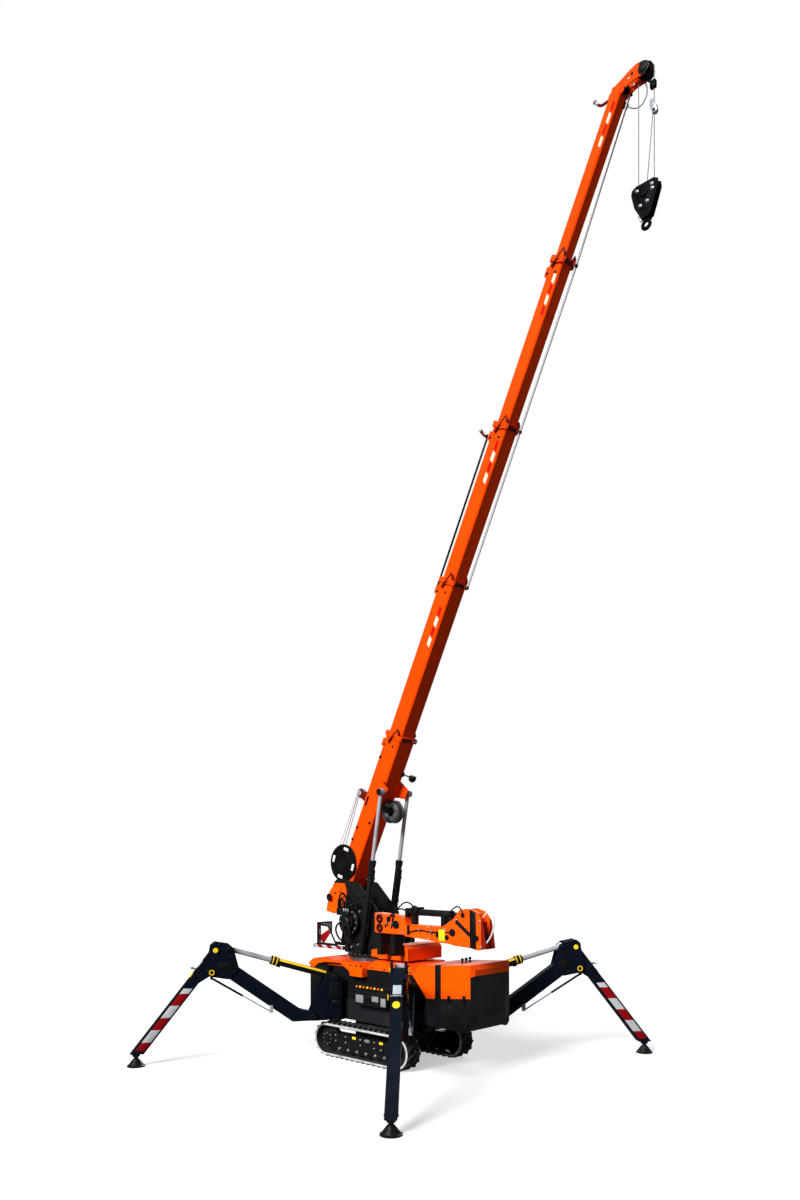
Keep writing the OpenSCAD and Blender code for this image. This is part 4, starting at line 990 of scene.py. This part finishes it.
collar_trim(0, "boom")
plugs = side_caps(0.046, 0.016, 0.1995, [(1.445, -0.203)])
for a, n, radius in ((0.831, 0.090, 0.020), (0.655, 0.100, 0.018), (0.972, -0.090, 0.020),
                     (1.799, 0.095, 0.020), (2.02, 0.03, 0.016), (1.50, -0.085, 0.018)):
    plugs += side_caps(radius, 0.010, WIDTHS[0] / 2, [(a, n)], 22)
plugs += side_plates([(1.150, 0.060), (1.262, 0.060), (1.275, 0.075), (1.262, 0.092), (1.150, 0.092),
                      (1.137, 0.075)], 0.1345, 0.141)
mounted(plugs, "boom_base_plugs", "boom", black_trim, on_boom)
mounted([bar((LAMP_A, LAMP_Y, LAMP_N), (LAMP_A + 0.02, LAMP_Y, LAMP_N - 0.14), 0.009),
         block((LAMP_A - 0.015, LAMP_A + 0.055), (LAMP_Y - 0.040, LAMP_Y + 0.040),
               (LAMP_N - 0.205, LAMP_N - 0.135), 0.016),
         cap(0.032, 0.012, (LAMP_A - 0.015, LAMP_Y, LAMP_N - 0.170), (-1, 0, 0), 24),
         block((LAMP_A - 0.03, LAMP_A + 0.03), (LAMP_Y - 0.03, LAMP_Y + 0.014),
               (LAMP_N - 0.012, LAMP_N + 0.004), 0.003)],
        "boom_work_lamp", "boom", black_trim, on_boom)

# Winch: two black side discs bolted to the base section carry a steel drum wound
# with wire rope; three strands lead up to a bright guide sheave on the boom's
# back, and a cable reel hangs under the boom.
DISC_A, DISC_N, DISC_FACE, DRUM_N, WRAPS = 0.305, 0.116, 0.147, 0.264, 20
GUIDE_A, GUIDE_N, REEL_A, REEL_N, ALONG_Y = 1.205, 0.335, 1.220, -0.285, (0, 1, 0)
winch_black = finish("winch_black", shade(6, 7, 8), 0.5, 7, spread=0.22, grime=shade(13, 13, 14), shine=0.1)
drum_steel = finish("drum_steel", shade(120, 122, 124), 0.4, 12, metal=0.8, depth=0.3, spread=0.2,
                    grime=shade(70, 66, 60))
rope_steel = finish("rope_steel", shade(118, 106, 104), 0.5, 60, depth=0.6, spread=0.16,
                    grime=shade(96, 88, 86), shine=0.3)
stay_steel = finish("stay_steel", shade(206, 196, 199), 0.45, 40, depth=0.3, spread=0.10, shine=0.4)
silver = finish("silver_metal", shade(164, 169, 178), 0.36, 14, metal=0.3, depth=0.12,
                grime=shade(140, 140, 140))
reel_grey = finish("reel_grey", shade(74, 76, 80), 0.5, 10, metal=0.2, depth=0.15, spread=0.2,
                   grime=shade(44, 44, 46))
dress(winch_black, "winch_frame", "cable_reel")
dress(drum_steel, "winch_drum")
dress(dark_red_and_shade, "rope_guide")


def flat_ring(hole, rim, height, shoulder, slope, centre, way, steps):
    """A flat ring with its outer edges sloped from a shoulder to its top."""
    return turned([(hole, 0), (rim, 0), (rim, shoulder), (rim - slope, height), (hole + slope, height),
                   (hole, shoulder)], centre, way, steps)


def grooved_rim(hole, rim, floor, half, lip, slope):
    """The section of a wheel's rim, with a groove for rope or cable between two lips."""
    edge = [(hole, half), (rim, half), (rim, lip), (floor, slope)]
    return [(radius, -y) for radius, y in edge] + edge[::-1]


rings, whites = [], []
for s in (-1, 1):
    hub, out = (DISC_A, s * DISC_FACE, DISC_N), (0, s, 0)
    rings += [flat_ring(0.206, 0.242, 0.004, 0.002, 0.004, hub, out, 48),
              flat_ring(0.100, 0.128, 0.004, 0.002, 0.004, hub, out, 40), cap(0.062, 0.0045, hub, out, 32)]
    for turn in (8, 98, 188, 278):
        whites.append(moved(
            block((-0.019, 0.019), span(s, 0.1465, 0.1500), (-0.044, 0.044), 0.001),
            Matrix.Translation((DISC_A, 0, DISC_N)) @ Matrix.Rotation(-math.radians(turn), 4, "Y")
            @ Matrix.Translation((0.186, 0, 0))))
mounted(rings, "winch_rings", "boom", winch_black, on_boom)
mounted(whites, "winch_marks", "boom", white_plate, on_boom)
mounted(bolts(bolt_places(circle(DISC_A, DISC_N, 0.224, 12) + circle(DISC_A, DISC_N, 0.114, 6),
                          DISC_FACE, 0.0048)), "winch_bolts", "boom", black_trim, on_boom)
rope = [(0.086, -0.101)]
for k in range(WRAPS):
    y = -0.1 + 0.2 * k / WRAPS
    rope += [(0.0885, y), (0.0945, y + 0.0025), (0.0965, y + 0.005), (0.0945, y + 0.0075)]
rope += [(0.0885, 0.1), (0.086, 0.101)]
mounted(turned(rope, (DISC_A, 0, DRUM_N), ALONG_Y, 40),
        "winch_rope_pack", "winch_drum", rope_steel, on_boom)
mounted([bar((0.275, 0.055 * k, 0.3605), (1.185 + 0.012 * k, 0.026 * k, 0.398), 0.0055, 0.001, 10)
         for k in (-1, 0, 1)], "winch_strands", "boom", stay_steel, on_boom)
guide = [turned(grooved_rim(0.060, 0.068, 0.063, 0.016, 0.011, 0.004), (GUIDE_A, 0, GUIDE_N), ALONG_Y, 36)]
guide += side_caps(0.030, 0.012, 0.034, [(GUIDE_A, GUIDE_N)], 24)
guide += side_plates([(1.172, GUIDE_N), (1.238, GUIDE_N), (1.232, 0.386), (1.178, 0.386)], 0.0288, 0.0318)
mounted(guide, "rope_guide_sheave", "boom", silver, on_boom)
reel = [turned(grooved_rim(0.136, 0.145, 0.139, 0.044, 0.034, 0.030), (REEL_A, 0, REEL_N), ALONG_Y, 44)]
reel += [flat_ring(0.060, 0.120, 0.008, 0.004, 0.006, (REEL_A, s * 0.042, REEL_N), (0, s, 0), 40)
         for s in (-1, 1)]
mounted(reel, "cable_reel_rims", "boom", reel_grey, on_boom)
mounted(bolts(bolt_places(circle(REEL_A, REEL_N, 0.09, 6), 0.050, 0.009)),
        "cable_reel_bolts", "boom", black_trim, on_boom)

# Telescopic sections: four orange boxes, each sliding in the one before it, with
# red and white extension marks, mouths rimmed in painted shade, a black sensor
# pipe on the back of the third and two taut steel stays from each upper mouth to the next.
STAY_DROP, STAY_BACK = 0.070, 0.03
DASH_ROWS = ((2, 3.780, 0.122, -0.046, 0.025, 0), (3, 5.675, 0.118, -0.044, 0.023, 0),
             (4, 7.395, 0.107, -0.038, 0.020, 1), (5, 8.990, 0.105, -0.030, 0.017, 0))
for k, first, pitch, centre, half, begin in DASH_ROWS:
    dress(boom_finish(f"boom_orange_{k}", First=first, Pitch=pitch, Centre=centre, Half=half,
                      Reach=WIDTHS[k - 1] / 2 - 0.004, Begin=begin), f"boom_section_{k}")
for k in (1, 2, 3):
    collar_trim(k, f"boom_{k + 1}")
for k in (1, 2, 3):
    start, low = ENDS[k] - STAY_BACK, -DEPTHS[k] / 2 - STAY_DROP
    end, high, draw_in = ENDS[k + 1] - STAY_BACK, -DEPTHS[k + 1] / 2 - STAY_DROP, 1
    if k == 3:
        end, high, draw_in = ENDS[4] + 0.02, -0.112, 0.6
    pair = [bar((start, y, low), (end, y * draw_in, high), 0.006, 0, 10) for y in (0.044, 0.070)]
    stays = moved(joined(pair), on_boom)
    bpy.ops.object.shade_smooth_by_angle(angle=math.radians(60))
    stays.name = stays.data.name = f"boom_stays_{k + 1}"
    stays.data.materials.append(stay_steel)
    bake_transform(stays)
mounted([bar((3.960, -0.062, 0.168), (5.690, -0.062, 0.167), 0.0125, 0.003, 16),
         block((5.662, 5.698), (-0.085, -0.040), (0.094, 0.182), 0.005)],
        "boom_sensor_pipe", "boom_3", black_trim, on_boom)
mounted(tube_run(0.016, (5.668, -0.062, 0.090), (5.672, -0.064, 0.170), (5.690, -0.066, 0.235),
                 (5.720, -0.066, 0.285)),
        "boom_pipe_hook", "boom_3", dark_red_and_shade, on_boom, smooth=60)
mounted(cap(0.022, 0.03, (5.714, -0.066, 0.277), (0.55, 0, 0.83), 20),
        "boom_pipe_hook_end", "boom_3", silver, on_boom)
mounted([tube_run(0.014, (9.030, -0.03, 0.050), (8.990, -0.03, 0.105), (8.966, -0.03, 0.160),
                  (8.976, -0.03, 0.210)),
         block((8.985, 9.045), (-0.060, 0.010), (0.058, 0.074))],
        "boom_tip_bracket", "boom_5", dark_red_and_shade, on_boom, smooth=50)
mounted([bar((8.973, -0.03, 0.203), (9.002, -0.03, 0.262), 0.0135),
         cap(0.020, 0.016, (8.998, -0.03, 0.256), (0.45, 0, 0.89), 20)],
        "boom_tip_bracket_end", "boom_5", silver, on_boom)
mounted(block((8.966, 9.020), (0.040, 0.078), (-0.102, -0.064), 0.005),
        "boom_cable_clip", "boom_5", black_trim, on_boom)
mounted(tube_run(0.006, (8.992, 0.060, -0.098), (8.962, 0.054, -0.200), (8.972, 0.040, -0.290),
                 (9.030, 0.032, -0.325), (9.110, 0.032, -0.305), (9.170, 0.034, -0.255)),
        "boom_tip_cable", "boom_5", rope_steel, on_boom, smooth=60)

# Boom head and hoist: orange cheeks bent to the underside with black rope sheaves
# on pins, wire ropes down to a black hook block with a swivel hook, and a bright
# wedge socket that ends the standing rope.
HEAD_FACE, HEAD_PIN = 0.060, (9.255, -0.245)
FALL_X, BLOCK_Z = 3.8773, 9.1779
SOCKET_X, SOCKET_Z = FALL_X + 0.082, 9.900
head_orange = boom_finish("boom_orange_head")
paint_zone(head_orange, shade(26, 26, 28), (3.85, 0, 10.3), (1.2, 0.024, 1.2))
paint_zone(head_orange, shade(10, 10, 12), (3.950, 0, 10.370), (0.105, 0.3, 0.125))
hook_black = finish("hook_black", shade(4, 4, 7), 0.62, 9, depth=0.3, spread=0.25,
                    grime=shade(8, 8, 11), shine=0.05)
dress(head_orange, "boom_head")
dress(rope_steel, "hoist_ropes")
dress(hook_black, "hook_block")


def around(x, z, *offsets):
    """Spots given as offsets from a centre."""
    return [(x + dx, z + dz) for dx, dz in offsets]


mounted(side_caps(0.060, 0.008, HEAD_FACE, [HEAD_PIN], 40)
        + side_caps(0.040, 0.012, HEAD_FACE + 0.007, [HEAD_PIN]),
        "head_pin_caps", "boom_5", black_trim, on_boom)
mounted(bolts(bolt_places(((9.085, 0.02), (9.09, -0.105), (9.21, -0.13), (9.20, -0.27), (9.29, -0.19)),
                          HEAD_FACE, 0.011)), "head_bolts", "boom_5", black_trim, on_boom)
mounted(plate(around(SOCKET_X, SOCKET_Z, (-0.040, 0.070), (-0.010, 0.085), (0.030, 0), (0.040, -0.055),
                     (0.020, -0.075), (-0.012, -0.066), (-0.036, 0)), (-0.022, 0.022), 0.007),
        "hoist_wedge_socket", "hook", silver)
pin_x, pin_z = SOCKET_X + 0.012, SOCKET_Z - 0.045
mounted([block((SOCKET_X - 0.040, SOCKET_X + 0.024), (-0.024, 0.024),
               (SOCKET_Z + 0.185, SOCKET_Z + 0.265), 0.014),
         bar((pin_x, -0.029, pin_z), (pin_x, 0.029, pin_z), 0.014)],
        "hoist_stop_weight", "hook", hook_black)
mounted(bar((SOCKET_X - 0.012, 0, SOCKET_Z - 0.060), (FALL_X + 0.004, 0, BLOCK_Z - 0.03), 0.0045, 0.001, 10),
        "hoist_standing_rope", "hook", rope_steel)
mounted(turned(circle(0.0375, 0, 0.0175, 12), (FALL_X, 0, BLOCK_Z - 0.399), ALONG_Y, 36),
        "hook_ring", "hook", hook_black, smooth=60)
mounted(side_caps(0.040, 0.012, 0.048, [(FALL_X, BLOCK_Z - 0.105)])
        + side_plates(around(FALL_X, BLOCK_Z, (-0.10, -0.03), (0.10, -0.03), (0.115, -0.06), (0.045, -0.27),
                             (-0.035, -0.27), (-0.115, -0.07)), 0.0395, 0.0435),
        "hook_block_cheeks", "hook", hook_black)
heads = bolt_places(around(FALL_X, BLOCK_Z, (-0.08, -0.055), (0.08, -0.055), (-0.045, -0.215),
                           (0.03, -0.20), (0.085, -0.10)), 0.0435, 0.012)
mounted(bolts(heads), "hook_block_bolts", "hook", silver)
mounted(bar((FALL_X - 0.070, -0.030, BLOCK_Z - 0.305), (FALL_X - 0.038, -0.030, BLOCK_Z - 0.368),
            0.010, 0.003, 12), "hook_latch", "hook", silver)

# Lift cylinders: two black barrels from the turret to the boom with bright rods,
# a black cap outside each rod eye and a steel pipe clipped along each barrel.
LIFT_Y, LIFT_FOOT, LIFT_EYE = 0.242, (0.080, 1.3305), (0.4159, 3.2998)
LIFT_LENGTH, PIPE_N = 1.9977, -0.058
lift_up = math.atan2(LIFT_EYE[1] - LIFT_FOOT[1], LIFT_EYE[0] - LIFT_FOOT[0])
barrel_black = finish("barrel_black", shade(10, 11, 12), 0.38, 6, coat=0.05, depth=0.08, spread=0.2,
                      grime=shade(18, 18, 18), shine=0.3)
chrome = finish("chrome_rod", shade(178, 176, 184), 0.26, 9, metal=0.3, depth=0.03, spread=0.08,
                grime=shade(152, 150, 160))
dress(barrel_black, "lift_barrels")
dress(chrome, "lift_rods")
pipes, eyes = [], []
for s in (-1, 1):
    on_lift = Matrix.Translation((LIFT_FOOT[0], s * LIFT_Y, LIFT_FOOT[1])) @ Matrix.Rotation(-lift_up, 4, "Y")
    run = [tube_run(0.009, (0.16, 0, -0.038), (0.18, 0, -0.055), (0.24, 0, PIPE_N), (0.60, 0, PIPE_N),
                    (0.96, 0, PIPE_N), (1.02, 0, -0.054), (1.04, 0, -0.040))]
    run += [block((a - 0.012, a + 0.012), (-0.018, 0.018), (-0.068, -0.036)) for a in (0.30, 0.62, 0.92)]
    pipes += [moved(piece, on_lift) for piece in run]
    eyes.append(moved(cap(0.042, 0.012, (LIFT_LENGTH, s * 0.0348, 0), (0, s, 0)), on_lift))
mounted(pipes, "lift_pipes", "lift_barrels", barrel_black, smooth=50)
mounted(eyes, "lift_rod_eyes", "lift_rods", black_trim)

# Outrigger legs: four folding legs of dark blue-black welded box tube, each on a
# swinging bracket, with a raising cylinder, a gas strut beside the arm, a latch
# at the knee, striped sides on the lower leg and a black cone pad.
LEGS = (("rear_right", -0.190, -0.460, -121.0), ("front_right", 1.070, -0.460, -50.6),
        ("front_left", 1.070, 0.460, 50.6), ("rear_left", -0.190, 0.460, 121.0))
LEG_TOP, LEG_LOW, LEG_FACE = Vector((1.530, 0, 1.270)), Vector((2.440, 0, 0.102)), 0.060
DOWN = (LEG_LOW - LEG_TOP).normalized()
ACROSS = Vector((-DOWN.z, 0, DOWN.x))
BAND_START, BAND_END, BAND_HALF = 0.425, 1.39, 0.043
PAD_X, KNEE, ROD_EYE, KNEE_FACE = 2.412, (1.533, 1.098), (1.318, 1.372), 0.0788
BARREL_FOOT, ARM_PIN, BRACKET_FACE, STRUT_Y = (0.010, 0.985), (0.280, 0.500), 0.0938, 0.094
on_cylinder = Matrix.Translation((BARREL_FOOT[0], 0, BARREL_FOOT[1])) @ Matrix.Rotation(
    -math.atan2(ROD_EYE[1] - BARREL_FOOT[1], ROD_EYE[0] - BARREL_FOOT[0]), 4, "Y")
leg_navy = finish("leg_navy", shade(8, 15, 26), 0.5, 4, depth=0.08, spread=0.2, chip=shade(22, 29, 38),
                  grime=shade(11, 18, 29), shine=0.05)
pad_black = finish("pad_black", shade(11, 12, 13), 0.42, 10, depth=0.25, spread=0.25, grime=shade(24, 23, 22),
                   shine=0.3)
leg_stripes = striped("leg_stripes", 5.4, -0.19, 0.3)
leg_tag = finish("leg_tag", shade(160, 172, 182), 0.5, 12, depth=0.1)


def down_leg(along, across, y=0.0):
    """A point on the lower leg: so far down from the knee, out from its middle and to one side."""
    return LEG_TOP + DOWN * along + ACROSS * across + Vector((0, y, 0))


band_outline = [(c.x, c.z) for c in (down_leg(BAND_START, -BAND_HALF), down_leg(BAND_END - 0.05, -BAND_HALF),
                                     down_leg(BAND_END, BAND_HALF), down_leg(BAND_START + 0.06, BAND_HALF))]
sleeve = [(0.0465, 0), (0.056, 0), (0.0585, 0.006), (0.0585, 0.086), (0.054, 0.096), (0.0365, 0.096),
          (0.0365, 0.090), (0.0515, 0.080), (0.0515, 0.022), (0.0465, 0.018)]
for name, swing_x, swing_y, heading in LEGS:
    here = Matrix.Translation((swing_x, swing_y, 0)) @ Matrix.Rotation(math.radians(heading), 4, "Z")
    dress(leg_navy, name + "_bracket", name + "_arm", name + "_lower_leg")
    dress(pad_black, name + "_foot_pad")
    dress(barrel_black, name + "_cylinder_barrel")
    dress(chrome, name + "_cylinder_rod")
    mounted([map_along(band, down_leg(BAND_START, -BAND_HALF), DOWN, ACROSS,
                       BAND_END - BAND_START, 2 * BAND_HALF)
             for band in side_plates(band_outline, LEG_FACE - 0.0003, LEG_FACE + 0.0015, 0.0006)],
            name + "_leg_stripes", name + "_leg", leg_stripes, here)
    mounted(cap(0.038, 0.010, down_leg(0.31, 0.0628), ACROSS),
            name + "_reflector", name + "_leg", yellow_paint, here)
    flat_on_leg = Matrix((DOWN, OUT_RIGHT, ACROSS)).transposed().to_4x4()
    tag = moved(block((-0.050, 0.050), (-0.042, 0.042), (0, 0.003), 0.001),
                Matrix.Translation(down_leg(0.14, 0.0628)) @ flat_on_leg)
    mounted(tag, name + "_blank_plate", name + "_leg", leg_tag, here)
    heads = [(down_leg(u, v, s * LEG_FACE), (0, s, 0), 0.010)
             for s in (-1, 1) for u, v in ((0.22, 0.03), (0.22, -0.03), (1.395, 0.0))]
    mounted(bolts(heads), name + "_leg_bolts", name + "_leg", black_trim, here)
    mounted([turned([(0.030, 0), (0.042, 0), (0.046, 0.012), (0.044, 0.026), (0.030, 0.030)],
                    (PAD_X, 0, 0.118), (0, 0, 1), 28),
             turned([(0.092, 0.021), (0.1045, 0.0135), (0.1055, 0.006), (0.1055, 0.002), (0.104, 0.0005),
                     (0.098, 0.0005)], (PAD_X, 0, 0), (0, 0, 1), 40)],
            name + "_pad_collar", name + "_leg", pad_black, here)
    mounted(side_caps(0.034, 0.012, 0.0848, [KNEE]) + side_caps(0.030, 0.010, 0.0868, [ROD_EYE])
            + side_plates([(1.26, 1.16), (1.36, 1.22), (1.46, 1.20), (1.44, 1.14), (1.34, 1.08)],
                          KNEE_FACE, KNEE_FACE + 0.004),
            name + "_knee_caps", name + "_arm", black_trim, here)
    rim = [(0.024, 0), (0.033, 0), (0.033, 0.008), (0.024, 0.008)]
    mounted([cap(0.031, 0.008, (1.487, 0.0988, 1.365), ALONG_Y),
             cap(0.030, 0.008, (1.487, -KNEE_FACE, 1.365), OUT_RIGHT)]
            + [turned(rim, (KNEE[0], s * 0.0965, KNEE[1]), (0, s, 0), 24) for s in (-1, 1)],
            name + "_yellow_caps", name + "_arm", yellow_paint, here)
    heads = bolt_places(((1.25, 1.10), (1.30, 1.28), (1.44, 1.43), (1.50, 1.27), (1.58, 1.12), (1.40, 1.06)),
                        KNEE_FACE, 0.011)
    heads += bolt_places(((0.52, 0.53), (0.50, 0.58), (1.10, 0.96), (1.06, 1.0)), 0.0648, 0.010)
    mounted(bolts(heads), name + "_arm_bolts", name + "_arm", black_trim, here)
    latch = [bar(down_leg(0.225, 0.060), down_leg(0.225, 0.100), 0.010),
             bar(down_leg(0.225, 0.094, -0.050), down_leg(0.225, 0.094, 0.050), 0.010)]
    latch += [bar(down_leg(0.225, 0.094, s * 0.044), down_leg(0.245, 0.122, s * 0.056), 0.008) for s in (1, -1)]
    mounted(latch, name + "_latch_wings", name + "_leg", grey_plate, here)
    strut_y = STRUT_Y if "right" in name else -STRUT_Y
    strut_low, strut_high = Vector((0.823, strut_y, 0.595)), Vector((1.535, strut_y, 1.030))
    strut_mid, pin = strut_low.lerp(strut_high, 0.48), Vector((0, strut_y / 5, 0))
    mounted([bar(strut_mid, strut_high, 0.0140), bar(strut_high - pin, strut_high + pin, 0.018)],
            name + "_strut", name + "_arm", black_trim, here)
    mounted([bar(strut_low, strut_low.lerp(strut_high, 0.50), 0.0085),
             block((0.792, 0.834), span(strut_y, 0.66, 1.12), (0.580, 0.668), 0.006)],
            name + "_strut_rod", name + "_arm", silver, here)
    mounted(side_caps(0.040, 0.012, 0.0956, [ARM_PIN, BARREL_FOOT])
            + side_plates([(-0.04, 0.74), (0.06, 0.74), (0.10, 0.80), (0.06, 0.92), (-0.04, 0.92)],
                          BRACKET_FACE - 0.004, BRACKET_FACE),
            name + "_bracket_caps", name + "_swing", black_trim, here)
    heads = bolt_places(((-0.02, 0.76), (0.05, 0.77), (-0.02, 0.90), (0.05, 0.90)), BRACKET_FACE, 0.012)
    mounted(bolts(heads), name + "_bracket_bolts", name + "_swing", black_trim, here)
    strips = [moved(plate(oblong(0.12, 0.745, 0.0440, 0.0478), (-0.015, 0.015), 0.001),
                    Matrix.Rotation(math.radians(turn), 4, "X")) for turn in (-52, 52)]
    strips += [turned([(0.058, 0), (0.0605, 0.002), (0.0605, 0.012), (0.058, 0.014)], (a, 0, 0), (1, 0, 0), 32)
               for a in (0.752, 0.800)]
    mounted(strips, name + "_barrel_stripe", name + "_barrel", yellow_paint, here @ on_cylinder)
    mounted(turned(sleeve, (0.738, 0, 0), (1, 0, 0), 36),
            name + "_gland_sleeve", name + "_barrel", barrel_black, here @ on_cylinder)
    mounted([block((0.085, 0.135), (-0.024, 0.024), (0.036, 0.064), 0.005),
             block((0.70, 0.745), (-0.024, 0.024), (-0.066, -0.038), 0.005),
             tube_run(0.008, (0.11, -0.040, -0.030), (0.13, -0.052, -0.036), (0.20, -0.054, -0.036),
                      (0.45, -0.054, -0.036), (0.66, -0.054, -0.036), (0.71, -0.045, -0.044),
                      (0.722, -0.015, -0.052))],
            name + "_barrel_ports", name + "_barrel", black_trim, here @ on_cylinder, smooth=50)
